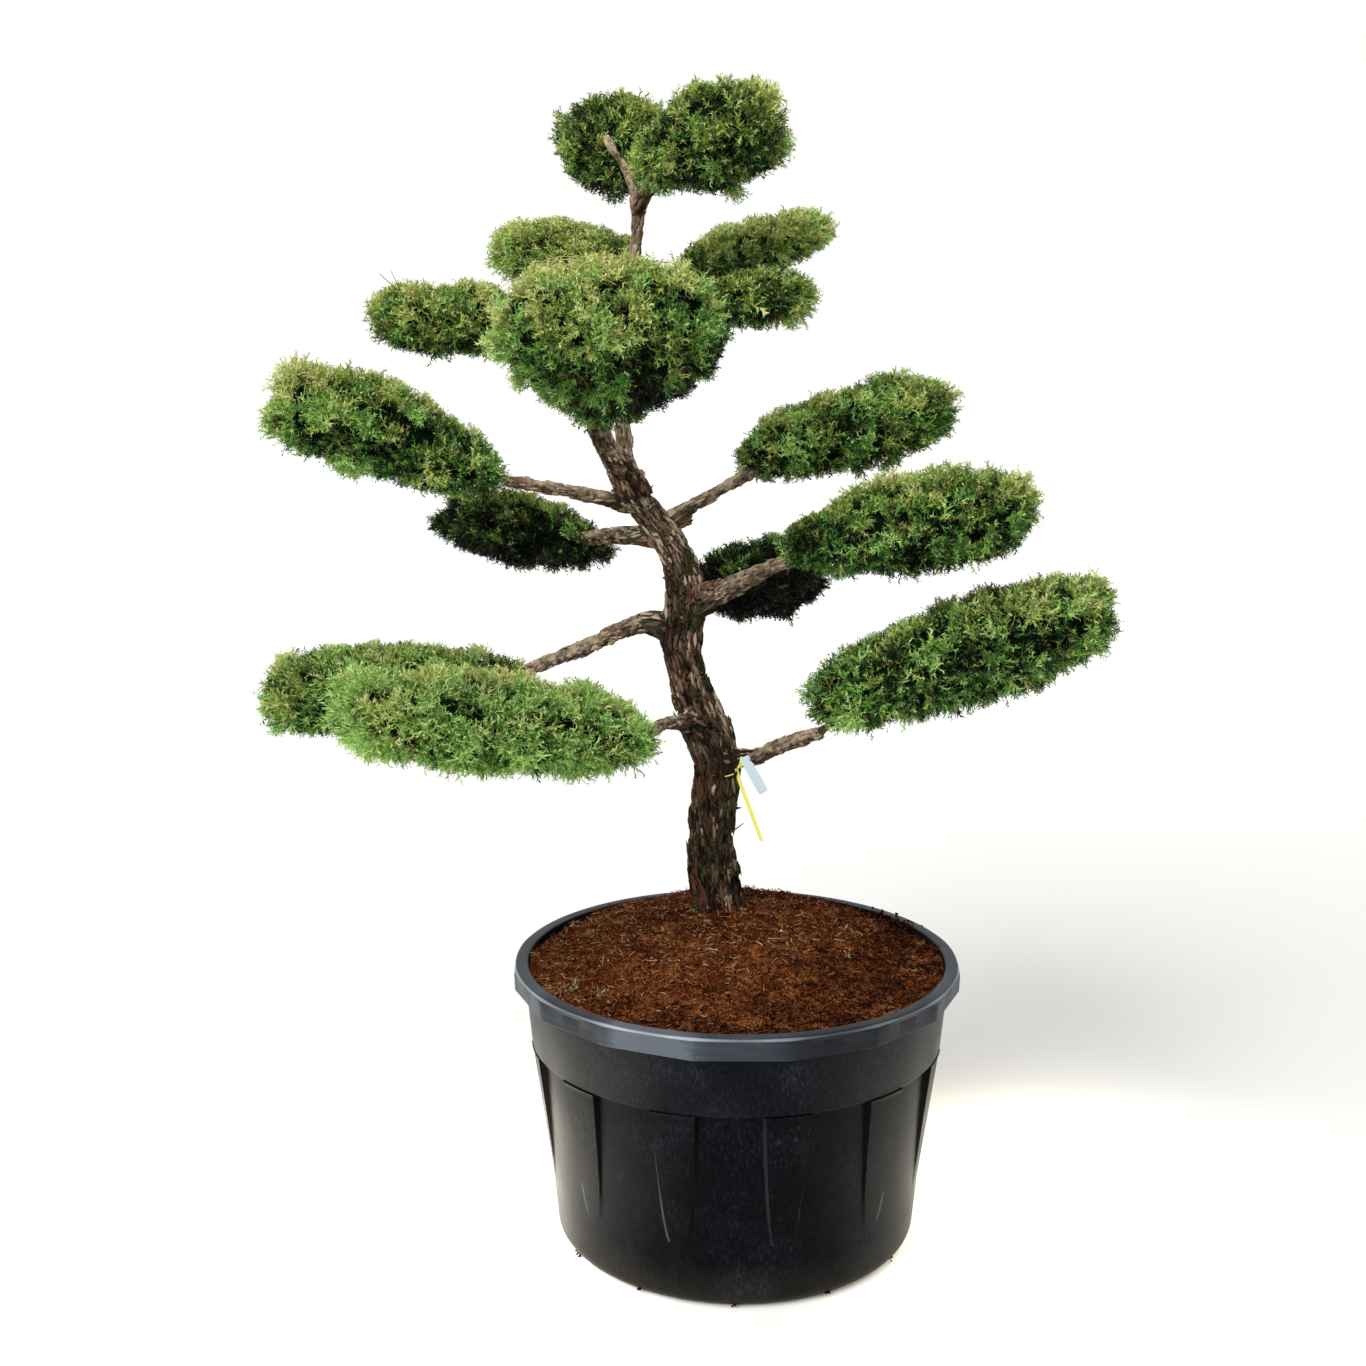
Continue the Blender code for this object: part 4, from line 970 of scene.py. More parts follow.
def growFlakes(mesh):
    spots, outs, grows = (readPoints(mesh, name, 3) for name in ("position", "outward", "heading"))
    girths, tints = (readPoints(mesh, name) for name in ("girth", "tint"))
    dice = np.random.default_rng(bark["seed"])
    share = (0.15 + 0.85 * girths**2) * (spots[:, 2] > trunkBends[0][2] - 0.006)
    picked = dice.choice(len(spots), bark["flakes"], replace=False, p=share / share.sum())
    spots, outs, grows, girths, tints = (a[picked] for a in (spots, outs, grows, girths, tints))
    count = len(picked)
    outs = unit(outs)
    grows = unit(grows - outs * (grows * outs).sum(axis=1, keepdims=True))
    asides = np.cross(outs, grows)
    sway = np.radians(dice.normal(0, 9, count))[:, None]
    lean, turn = np.cos(sway), np.sin(sway)
    grows, asides = grows * lean + asides * turn, asides * lean - grows * turn
    narrow = (0.35 + 0.65 * girths) * dice.uniform(0.5, 1.6, count)
    sizes = [narrow * size for size in bark["flake"]]
    sizes[2] *= dice.uniform(0.5, 1.8, count)
    axes = zip((asides, outs, grows), sizes)
    frames = np.stack([axis * size[:, None] for axis, size in axes], axis=2)
    # colours by the plate's tone, painted lighter on top as painted light, by patch, by height,
    # where the lower trunk is darker as painted shade, and by chance
    patch = np.array([noise.noise(Vector(spot) / 0.035) for spot in spots])
    damp = np.array([noise.noise(Vector(spot) / 0.05 + Vector((3, 9, 4))) for spot in spots])
    tone = 0.5 * tints + 0.4 * dice.random(count) + 0.35 * patch + 0.27 * (1 - girths)
    tone += 0.10 * np.clip((spots[:, 2] - 0.72) / 0.22, -1, 0.3) + 0.01
    colours = (tone[:, None] > np.array(bark["steps"])).sum(axis=1)
    rusty = dice.random(count) < 0.03 + 0.25 * (patch > 0.30)
    colours = np.where(rusty & (girths > 0.6) & (colours < 4), 6, colours)
    mossy = (damp + dice.normal(0, 0.20, count) > 0.30) & (colours < 5)
    colours = np.where(mossy, 7, colours)
    for middle, radius, share, colour in bark["stains"]:
        far = np.linalg.norm(spots - middle, axis=1) / radius
        colours = np.where(dice.random(count) < share * np.exp(-(far**2)), colour, colours)
    kinds = dice.integers(0, 4, count)
    place, radius, palest = bark["darkRoot"]
    shaded = np.linalg.norm(spots - place, axis=1) < radius * (1 + 0.8 * patch)
    colours = np.where(shaded, np.minimum(colours, palest), colours)
    return [
        (flakeShape(k), spots[kinds == k], frames[kinds == k], colours[kinds == k])
        for k in range(4)
    ]


def barkFinish():
    # Juniper bark: dry stringy plates that peel in long strips, grey-brown, painted lighter on top
    # as painted light, rusty where freshly split, nearly black in the cracks, partly as painted
    # shade, darker at the foot as painted shade, and green with algae on one side.
    finish = newFinish("juniperBark", "#4a3a2b", 0.9, Specular_IOR_Level=0.2)
    add = partial(addNode, finish)
    blend = partial(add, "Mix", out=2, data_type="RGBA")
    place = add("TexCoord", out="Object")
    height = add("SeparateXYZ", (place,), "Z")
    grain = add("Attribute", out="Vector", attribute_name="grain")
    crack, tint, girth = (
        add("Attribute", out="Fac", attribute_name=name) for name in ("crack", "tint", "girth")
    )
    # strings 3 mm wide and 14 mm long
    strings = add("Mapping", {"Vector": grain, "Scale": (330, 330, 70)})
    fibre = add("TexNoise", {"Vector": strings, "Scale": 1.0, "Detail": 5.0, "Roughness": 0.75})
    weather = add("Math", (tint, 0.50, fibre), operation="MULTIPLY_ADD")
    oldStops = (0.50, "#0f0a06"), (0.66, "#33271c"), (0.80, "#6c5a47"), (0.94, "#b5a28a")
    old = add("ValToRGB", (weather,), stops=oldStops)
    youngStops = (0.42, "#20160e"), (0.64, "#6e5a46"), (0.88, "#c4b096")
    young = add("ValToRGB", (weather,), stops=youngStops)
    wood = blend({0: add("MapRange", (girth, 0.3, 0.85)), 6: young, 7: old})
    # freshly split patches about 40 mm across, and damp ones of 50 mm
    patches = add("TexNoise", {"Vector": place, "Scale": 26.0, "Detail": 3.0})
    rustAt = add("MapRange", (patches, 0.52, 0.64, 0, 0.6))
    rusty = blend({0: rustAt, 6: wood, 7: "#744532"})
    damp = add("TexNoise", {"Vector": place, "Scale": 19.0, "Detail": 5.0})
    shady = add("Math", (girth, 0.55), operation="MULTIPLY")
    algaeAt = add("MapRange", (damp, 0.50, 0.62, 0, shady))
    mossy = blend({0: algaeAt, 6: rusty, 7: "#4a5230"})
    # the foot is darker: painted shade
    footShade = add("MapRange", (height, 0.50, 0.90, 0.45, 1))
    shaded = blend({0: 1.0, 6: mossy, 7: footShade}, blend_type="MULTIPLY")
    # the cracks go near black: partly the bark's own dark colour, partly painted shade
    linkTo(finish, "Base Color", blend({0: crack, 6: shaded, 7: "#0d0907"}))
    linkTo(finish, "Normal", add("Bump", {"Height": fibre, "Strength": 1.0, "Distance": 0.002}))
    return finish


noise.seed_set(bark["seed"])  # or noise_vector would start from the clock
limbs = carveBark(limbCurves())
limbNodes = ["trunk", *("bough_" + name for name in boughBends)]
finishPiece("barkLimbs", limbs, [barkFinish()], limbNodes)
flakes = joinCopies("barkFlakes", growFlakes(limbs))
finishPiece("barkFlakes", flakes, newFinishes(flakeColours, 0.9, 0.2))


# The foliage: the solids' rule, carried on to tufts of fine sprays

massSizes = {  # heel, tip, half width, half thickness, bow, fullness at the heel
    "crown_left": ((-0.190, 0.084, 1.610), (-0.196, 0.176, 1.768), 0.096, 0.064, 0.0, 0.45),
    "crown_right": ((-0.154, -0.018, 1.650), (0.053, -0.090, 1.706), 0.090, 0.081, 0.004, 0.6),
    "back_left_upper": ((-0.168, 0.116, 1.530), (-0.380, 0.320, 1.549), 0.082, 0.051, 0.004, 0.8),
    "left_upper": ((-0.316, 0.034, 1.425), (-0.556, 0.046, 1.433), 0.080, 0.060, 0.004, 0.8),
    "front_centre": ((-0.193, -0.066, 1.284), (-0.180, -0.340, 1.468), 0.172, 0.086, 0.010, 0.45),
    "right_upper_back": ((-0.092, 0.124, 1.510), (0.146, 0.290, 1.588), 0.082, 0.047, 0.0, 0.75),
    "right_upper": ((-0.092, 0.036, 1.452), (0.110, 0.004, 1.467), 0.076, 0.046, 0.002, 0.8),
    "left_long": ((-0.350, -0.016, 1.190), (-0.690, -0.064, 1.318), 0.104, 0.078, 0.014, 0.62),
    "left_dark": ((-0.202, 0.120, 1.072), (-0.482, 0.300, 1.120), 0.100, 0.060, 0.002, 0.7),
    "right_A": ((-0.010, 0.074, 1.216), (0.343, 0.126, 1.306), 0.100, 0.069, 0.006, 0.7),
    "right_B": ((0.056, -0.016, 1.092), (0.437, -0.062, 1.162), 0.110, 0.077, 0.004, 0.65),
    "right_back": ((-0.022, 0.170, 1.008), (0.108, 0.464, 0.992), 0.104, 0.070, 0.008, 0.85),
    "right_C": ((0.108, 0.012, 0.846), (0.550, -0.094, 1.020), 0.116, 0.085, 0.0, 0.82),
    "low_left_back": ((-0.330, 0.062, 0.876), (-0.772, 0.142, 0.835), 0.106, 0.074, 0.004, 0.72),
    "low_left_front": ((-0.130, -0.052, 0.806), (-0.566, -0.268, 0.902), 0.108, 0.076, 0.0, 0.88),
}
massTones = {  # light, more at the top, more at the left, share of cool green, grassiness
    "front_centre": (0.79, 0.42, 0.36, 0.10, 1.0),
    "low_left_front": (1.30, 0.12, 0.00, 0.40, 1.3),
    "low_left_back": (0.70, 0.14, 0.00, 0.22, 1.15),
    "left_long": (0.70, 0.34, 0.00, 0.06, 1.0),
    "right_C": (0.54, 0.06, 0.00, 0.16, 1.12),
    "right_B": (0.51, 0.24, 0.00, 0.10, 1.0),
    "right_A": (0.61, 0.16, 0.00, 0.04, 1.0),
    "left_upper": (0.76, 0.20, 0.00, -0.08, 1.0),
    "back_left_upper": (0.93, 0.20, 0.00, -0.16, 1.0),
    "right_upper": (0.67, 0.20, 0.00, -0.10, 1.0),
    "crown_left": (0.41, 0.16, 0.00, -0.24, 1.0),
    "crown_right": (0.55, 0.16, 0.00, -0.26, 1.0),
    "right_upper_back": (0.78, 0.16, 0.00, -0.10, 1.0),
    "left_dark": (0.06, 0.20, 0.00, 0.06, 1.0),
    "right_back": (-0.38, 0.36, 0.00, 0.30, 1.0),
}
foliage = {
    "bluntness": 3.0,
    "swelling": 0.65,  # the share of a mass's length over which it grows to its full girth
    "lumpSize": 0.075,
    "lumpShare": 0.16,
    "belts": 200,
    "tuftArea": 0.00042,  # one tuft to each 20 mm square of a mass's outline
    "sprays": 18,
    "kinds": 5,
    "shoots": 8,
    "sprayLength": 0.0235,
    "shortest": 0.009,
    "tuftDepth": 0.019,
    "fan": 66,
    "clumpSize": 0.026,
    "clumpDepth": 0.020,
    "knollSize": 0.048,
    "knollHeight": 0.013,
    "overhang": 0.012,  # how far sprays reach past the ends of a mass
    "coreInset": 0.028,
    "limbClear": 0.003,
    "coreClear": 0.005,
    "deep": 0.2,  # the share of sprays that fill the shade behind the others
    "dry": 0.016,  # the share of dead sprays
    "long": 0.006,  # the share of shoots that the shears missed
    "seed": 20,
}
sprayLight = {  # what lights a spray, beside its mass's own tone
    "heading": 0.14,
    "clump": 0.68,
    "patch": 0.13,
    "knoll": 0.42,
    "edge": 0.9,
    "chance": 0.32,
    "deep": 0.5,
    "steps": (1.26, 1.00, 0.77, 0.57, 0.39, 0.22, 0.06),
    "cool": (8, 8, 9, 10, 11, 5, 6, 7),  # the cool green in place of each of the first eight
}
# where shade shows between the shoots: place, radius and depth
hollows = {
    "front_centre": (((-0.140, -0.165, 1.365), 0.060, 0.95),),
    "low_left_front": (
        ((-0.267, -0.200, 0.830), 0.048, 0.6),
        ((-0.225, -0.150, 0.900), 0.036, 0.5),
    ),
}
runners = {"front_centre": 9, "left_long": 2, "low_left_front": 2, "left_upper": 2}
needleColours = {  # dealt out by spray, from the freshest tips to the shade inside
    "tipStraw": "#cace84",
    "tipYellow": "#b2be5e",
    "leafLight": "#93aa50",
    "leafGreen": "#728c40",
    "leafOlive": "#57692f",
    "deepGreen": "#36491e",
    "shadeGreen": "#1a280e",
    "innerShade": "#090f04",
    "mistGreen": "#a8cc74",
    "freshGreen": "#84b652",
    "seaGreen": "#629944",
    "grassGreen": "#437a30",
    "dryNeedle": "#8d7d4c",
}


class Mass:
    def __init__(self, name):
        heel, tip, self.width, self.thick, self.bow, self.heelShare = massSizes[name]
        self.name = name
        self.heel, self.tip = Vector(heel), Vector(tip)
        self.length = (self.tip - self.heel).length
        self.along = (self.tip - self.heel).normalized()
        self.side = self.along.cross(up).normalized()
        self.lift = self.side.cross(self.along).normalized()
        self.seed = sum(ord(letter) * (i + 1) for i, letter in enumerate(name))
        self.shift = Vector((self.seed % 17, self.seed % 23, self.seed % 31))
        self.turns = np.linspace(0, fullTurn, 181)
        rim = np.stack([np.cos(self.turns) * self.width, np.sin(self.turns) * self.thick])
        steps = np.hypot(*np.diff(rim, axis=1))
        self.round = np.concatenate([[0], np.cumsum(steps)]) / steps.sum()

    def line(self, u):
        return self.heel.lerp(self.tip, u) + self.lift * (self.bow * 4 * u * (1 - u))

    def girth(self, u):
        grow = np.clip(u / foliage["swelling"], 0, 1)
        return self.heelShare + (1 - self.heelShare) * grow * grow * (3 - 2 * grow)

    def fullness(self, u):
        blunt = foliage["bluntness"]
        return max(0.0, 1 - abs(2 * u - 1) ** blunt) ** (1 / blunt) * self.girth(u)

    def lumps(self, u, turn):
        spot = Vector((u * self.length, math.cos(turn) * self.width, math.sin(turn) * self.thick))
        return 1 + foliage["lumpShare"] * noise.noise(spot / foliage["lumpSize"] + self.shift)

    def surface(self, u, turn, inset=0.0):
        trim = inset / self.length
        full = self.fullness(u) * self.lumps(u, turn)
        across = math.cos(turn) * (self.width - inset) * full
        rise = math.sin(turn) * (self.thick - inset) * full
        return self.line(trim + u * (1 - 2 * trim)) + self.side * across + self.lift * rise

    def levels(self, points, lumps):  # below 1 inside the outline, for many points at once
        off = points - np.array(self.heel)
        u = off @ np.array(self.along) / self.length
        bow = self.bow * 4 * u * (1 - u)
        across = off @ np.array(self.side) / self.width
        rise = (off @ np.array(self.lift) - bow) / self.thick
        blunt = foliage["bluntness"]
        ratio = np.hypot(across, rise) / (self.girth(u) * lumps)
        return (np.abs(2 * u - 1) ** blunt + ratio**blunt) ** (1 / blunt)

    def tufts(self, rng):  # golden turns in an even march by area
        size, count = (self.width + self.thick) / 2, foliage["belts"]
        run = self.length / count
        belts = []
        for i in range(count):
            low = self.fullness(i / count) * size
            high = self.fullness((i + 1) / count) * size
            area = math.pi * (low + high) * math.hypot(run, high - low)
            belts.append(((i + 0.5) / count, area, math.atan2(low - high, run)))
        total = sum(area for _, area, _ in belts)
        count = round(total / foliage["tuftArea"])
        step = total / count
        passed, placed = 0.0, 0
        for u, area, slope in belts:
            passed += area
            while placed < count and passed > (placed + 0.5) * step:
                share = (goldenTurn * placed / fullTurn + rng.uniform(-0.06, 0.06)) % 1
                yield u, float(np.interp(share, self.round, self.turns)), slope
                placed += 1


def sprayShape(seed):
    # a feathery spray one unit long: a bent axis and the needle-like shoots that leave it
    rng = random.Random(seed)
    bm = bmesh.new()

    def shoot(foot, tip, wide):  # one awl-shaped needle, broad at its foot
        run = (tip - foot).normalized()
        aside = run.orthogonal().normalized()
        aside.rotate(Matrix.Rotation(rng.uniform(0, fullTurn), 3, run))
        bm.faces.new([bm.verts.new(p) for p in (foot - aside * wide, foot + aside * wide, tip)])

    bend = Vector((rng.uniform(-0.13, 0.13), rng.uniform(-0.13, 0.13), 0.5))
    shoot(Vector(), bend, 0.040)
    shoot(bend, up, 0.042)
    for i in range(foliage["shoots"]):
        share = 0.10 + 0.82 * i / (foliage["shoots"] - 1)
        foot = bend * share * 2 if share < 0.5 else bend.lerp(up, share * 2 - 1)
        around = goldenTurn * i + rng.uniform(-0.5, 0.5)
        lean = math.radians(rng.uniform(26, 62))
        flat = math.sin(lean)
        way = Vector((flat * math.cos(around), flat * math.sin(around), math.cos(lean)))
        length = (0.44 - 0.24 * share) * rng.uniform(0.75, 1.3)
        shoot(foot, foot + way * length, 0.050)
    return shapeOf(bm)


def limbSegments():  # both ends and the radius of every link of the limbs
    rows = []
    for path in limbPaths:
        rows += [(*a.xyz, *b.xyz, max(a.w, b.w)) for a, b in zip(path[::2], path[2::2])]
    return [(row[:3], row[3:6], row[6]) for row in np.array(rows)]


def nearOn(points, start, end):
    run = end - start
    share = np.clip((points - start) @ run / (run @ run), 0, 1)
    return start + share[:, None] * run


def touchesLimb(points):
    hit = np.zeros(len(points), bool)
    for start, end, radius in segments:
        gap = np.linalg.norm(points - nearOn(points, start, end), axis=1)
        hit |= gap < radius + foliage["limbClear"]
    return hit


def placeTufts(mass):
    rng = random.Random(mass.seed)
    rows = []
    for u, turn, slope in mass.tufts(rng):
        outward = (mass.surface(0.5, turn) - mass.line(0.5)).normalized()
        normal = outward * math.cos(slope) + mass.along * math.sin(slope)
        end = mass.surface(u, turn, foliage["tuftDepth"])
        clump = noise.noise(end / foliage["clumpSize"] + mass.shift)
        knoll = noise.noise(end / foliage["knollSize"] - mass.shift)
        way = (normal + 0.25 * mass.along + 0.2 * up).normalized()
        end += way * (foliage["clumpDepth"] * (clump - 0.15) + foliage["knollHeight"] * knoll)
        rows.append((end, way, mass.lumps(u, turn), clump, knoll))
    return map(np.array, zip(*rows))


def growSprays(mass, dice):
    ends, ways, lumps, clumps, knolls = placeTufts(mass)
    tuft = np.repeat(np.arange(len(ends)), foliage["sprays"])
    count = len(tuft)
    fan = math.radians(foliage["fan"]) * np.sqrt(dice.random(count))
    around = dice.uniform(0, fullTurn, count)
    frames = framesAlong(ways[tuft], np.ones(count), around)
    heads = frames[:, :, 2] * np.cos(fan)[:, None] + frames[:, :, 0] * np.sin(fan)[:, None]
    heads = unit(heads + [0, 0, 0.12])
    roots = ends[tuft] + dice.uniform(-0.006, 0.006, (count, 3))
    deep = dice.random(count) < foliage["deep"]
    roots -= ways[tuft] * (0.012 * deep)[:, None]
    tone, topLight, leftLight, coolness, grassiness = massTones[mass.name]
    lengths = foliage["sprayLength"] * grassiness * dice.uniform(0.6, 1.15, count)
    limit = 0.985 + 0.12 * clumps[tuft] + 0.24 * knolls[tuft] + 0.05 * dice.random(count)
    wild = dice.random(count) < foliage["long"]
    lengths = np.where(wild, lengths * 1.5, lengths)
    limit = np.where(wild, limit + 0.14, limit)
    hanging = wild & (ways[tuft] @ np.array(mass.lift) < -0.3)
    heads = np.where(hanging[:, None], unit(heads * 0.35 - [0, 0, 1]), heads)
    # each spray is clipped where it would leave the mass, and skipped where too little is left
    middle = np.array(mass.line(0.5))
    reach = np.full(count, 0.4)
    past = mass.length / 2 + foliage["overhang"]
    for share in np.linspace(0.4, 1.0, 13):
        tips = roots + heads * (lengths * share)[:, None]
        inside = mass.levels(tips, lumps[tuft]) < limit
        inside &= np.abs((tips - middle) @ np.array(mass.along)) < past
        reach = np.where(inside, share, reach)
    lengths = lengths * reach
    tips = roots + heads * lengths[:, None]
    keep = lengths > foliage["shortest"]
    keep &= ~touchesLimb(tips) & ~touchesLimb((tips + roots) / 2)
    for other in masses:
        if other is not mass:
            keep &= other.levels(tips, 1.0) > 1.0
    # light at the top, on the clumps and at the tips, dark below and inside
    lifted = (roots - middle) @ np.array(mass.lift) / mass.thick
    span = np.percentile(ends[:, 2], (2, 98))
    high = (roots[:, 2] - span.mean()) / (span[1] - span[0]) * 2
    slant = min(1, 1.6 * abs(mass.along.z))
    lifted = lifted * (1 - slant) + high * slant
    patch = np.array([noise.noise(Vector(end) / 0.07 + mass.shift) for end in ends])[tuft]
    grassy = np.array([noise.noise(Vector(end) / 0.04 - mass.shift) for end in ends])[tuft]
    contrast = grassiness**2
    for centre, radius, depth in hollows.get(mass.name, ()):
        away = np.linalg.norm(roots - centre, axis=1) / radius
        tone = tone - depth * np.exp(-(away**2))
    light = (
        tone
        + topLight * lifted
        - leftLight * (roots[:, 0] - middle[0]) / mass.width
        + sprayLight["heading"] * heads[:, 2]
        + sprayLight["clump"] * contrast * clumps[tuft]
        + sprayLight["patch"] * patch
        + sprayLight["knoll"] * contrast * knolls[tuft]
        + sprayLight["edge"] * (mass.levels(tips, lumps[tuft]) - 0.95)
        + contrast * dice.normal(0, sprayLight["chance"], count)
        - sprayLight["deep"] * deep
    )
    tints = (light[:, None] < np.array(sprayLight["steps"])).sum(axis=1)
    green = grassy + coolness - 0.36 * lifted + dice.normal(0, 0.26, count)
    cool = (green > 0.05) & (tints < 5)
    tints = np.where(cool, np.array(sprayLight["cool"])[tints], tints)
    dry = dice.random(count) < foliage["dry"] * (1 + np.maximum(0, -grassy))
    tints = np.where(dry & (tints != 0) & (tints != 8), 12, tints)
    shape = dice.integers(0, len(sprayShapes), count)
    rolls = dice.uniform(0, fullTurn, count)
    frames = framesAlong(heads, lengths, rolls, np.maximum(lengths, 0.021) / grassiness)
    owns = [keep & (shape == i) for i in range(len(sprayShapes))]
    batches = [(k, roots[own], frames[own], tints[own]) for k, own in zip(sprayShapes, owns)]
    return batches, ends


def coreMesh():
    # the dense inside of every mass, a lumpy cushion that the sprays stand out of, near black
    # as painted shade
    bm = bmesh.new()
    for mass in masses:
        made = bmesh.ops.create_uvsphere(bm, u_segments=30, v_segments=20, radius=1)
        for vert in made["verts"]:
            u = math.acos(max(-1, min(1, -vert.co.z))) / math.pi
            u = (1 - math.cos(math.pi * u)) / 2
            turn = math.atan2(vert.co.y, vert.co.x)
            rough = 0.006 * noise.noise(vert.co * 5 + mass.shift)
            vert.co = mass.surface(u, turn, foliage["coreInset"] + rough)
    points = np.array([vert.co for vert in bm.verts])
    for start, end, radius in segments:
        near, clear = nearOn(points, start, end), radius + foliage["coreClear"]
        gap = np.linalg.norm(points - near, axis=1, keepdims=True)
        points = np.where(gap < clear, near + (points - near) / gap * clear, points)
    for vert, point in zip(bm.verts, points):
        vert.co = point
    return meshFrom("innerShade", bm)


def twigShape():
    bm = bmesh.new()
    raised = Matrix.Translation((0, 0, 0.5))
    bmesh.ops.create_cone(
        bm, cap_ends=False, segments=3, radius1=1, radius2=0.45, depth=1, matrix=raised
    )
    return shapeOf(bm)


def stemRows(mass):
    start = boughPaths.get(mass.name, trunkPath)[-1]
    here = (start.xyz - mass.heel).dot(mass.along) / mass.length
    rows = [tuple(start)]
    for u in (0.25, 0.5, 0.72, 0.86):
        if u > here + 0.1:
            rows.append((*mass.line(u), start.w * (1 - 0.8 * u)))
    return smoothPath(rows, 0.02)


def growTwigs(mass, ends):
    # links of the stem, and a bent twig from it to every other tuft
    stem = stemRows(mass)
    links = [(a.xyz, b.xyz, a.w) for a, b in zip(stem, stem[1:])]
    for end in ends[::2]:
        end = Vector(end)
        u = (end - mass.heel).dot(mass.along) / mass.length
        foot = mass.line(min(0.84, max(0.1, u - 0.12)))
        bend = foot.lerp(end, 0.55) - 0.006 * up + 0.02 * mass.along
        links += [(foot, bend, 0.0020), (bend, end, 0.0012)]
    return links


def growRunners(mass):
    # long bare shoots that arch over the top of a mass
    rng = random.Random(mass.seed)
    links, steps = [], 8
    for _ in range(runners.get(mass.name, 0)):
        u, turn = rng.uniform(0.45, 0.92), math.radians(rng.uniform(55, 125))
        du, side = rng.uniform(-0.02, 0.01), rng.choice((-1, 1))
        dturn = math.radians(side * rng.uniform(6, 10))
        rise = 0.006 + rng.uniform(0.001, 0.006)
        spots = [
            mass.surface(u + du * i, turn + dturn * i, 0.006 - rise * math.sin(2.6 * i / steps))
            for i in range(steps + 1)
        ]
        widths = [0.0012 - 0.0006 * i / steps for i in range(steps)]
        links += zip(spots, spots[1:], widths)
    return links


sprout = {
    "spots": ((-0.257, -0.140), (-0.208, -0.160), (-0.246, -0.128), (0.175, -0.060)),
    "sprays": 4,
    "length": 0.015,
    "seed": 3,
}


def makeSprouts():  # seedlings that have come up in the peat
    dice = np.random.default_rng(sprout["seed"])
    spots = [(x, y, peatHeight(x, y)) for x, y in sprout["spots"]]
    spots = np.repeat(spots, sprout["sprays"], axis=0)
    count = len(spots)
    ways = unit(dice.normal(0, 0.7, spots.shape) + [0, 0, 1])
    frames = framesAlong(ways, np.full(count, sprout["length"]), dice.uniform(0, 6.3, count))
    colours = dice.integers(0, 2, count)
    finishes = [newFinish("sproutGreen", "#8fa552", 0.6), newFinish("sproutPale", "#b9b583", 0.6)]
    mesh = joinCopies("sprouts", [(sprayShapes[0], spots, frames, colours)])
    finishPiece("sprouts", mesh, finishes)


sprayShapes = [sprayShape(seed) for seed in range(foliage["kinds"])]
makeSprouts()
needleFinishes = newFinishes(needleColours, 0.6, 0.3)
masses = [Mass(name) for name in massSizes]
segments = limbSegments()
dice = np.random.default_rng(foliage["seed"])
twigs, tans = list(deadTwigs), [0] * len(deadTwigs)
for mass in masses:
    batches, ends = growSprays(mass, dice)
    name, node = "sprays_" + mass.name, "foliage_" + mass.name
    finishPiece(name, joinCopies(name, batches), needleFinishes, [node])
    for tan, links in enumerate((growTwigs(mass, ends), growRunners(mass))):
        twigs += links
        tans += [tan] * len(links)
froms, tos, widths = map(np.array, zip(*twigs))
ways, straight = unit(tos - froms), np.zeros(len(froms))
frames = framesAlong(ways, np.linalg.norm(tos - froms, axis=1), straight, widths)
twigFinishes = [newFinish("twigBark", "#5a4632", 0.9), newFinish("twigTan", "#ab9a62", 0.8)]
twigMesh = joinCopies("twigs", [(twigShape(), froms, frames, np.array(tans))])
finishPiece("twigs", twigMesh, twigFinishes)
# the cores' near-black colour is painted shade
coreFinish = newFinish("paintedInnerShade", "#0f1a0f", 1.0, Specular_IOR_Level=0.0)
finishPiece("foliageCores", coreMesh(), [coreFinish])


# The label: a yellow tie round the trunk with a loose tail, and a blank tag

label = {
    "height": 0.722,
    "tilt": -10,
    "bandRadius": 0.0011,
    "sunk": 0.013,  # how deep the band lies among the plates of bark, but for its front
    "crossing": -38,
    "tail": ((0.008, -0.0150, 0.030), (0.005, -0.0145, 0.014), (0, 0, 0), (0.039, -0.024, -0.106)),
    "tailWidth": 0.0060,
    "tailThickness": 0.0010,
    "knotRadius": 0.0042,
    "tagLength": 0.066,
    "tagWidth": 0.016,
    "tagThickness": 0.0010,
    "tagCorner": 0.003,
    "tagLean": 29,
}


def labelCrossing():  # the band's centre, radius and tilt, and where its ends cross
    here = trunkAt(label["height"])
    radius = here.w * 1.06 + 0.0024
    tilt = Matrix.Rotation(math.radians(label["tilt"]), 3, "Y")
    turn = math.radians(label["crossing"])
    out = Vector((math.cos(turn), math.sin(turn), 0))
    return here.xyz, radius, tilt, here.xyz + tilt @ out * radius


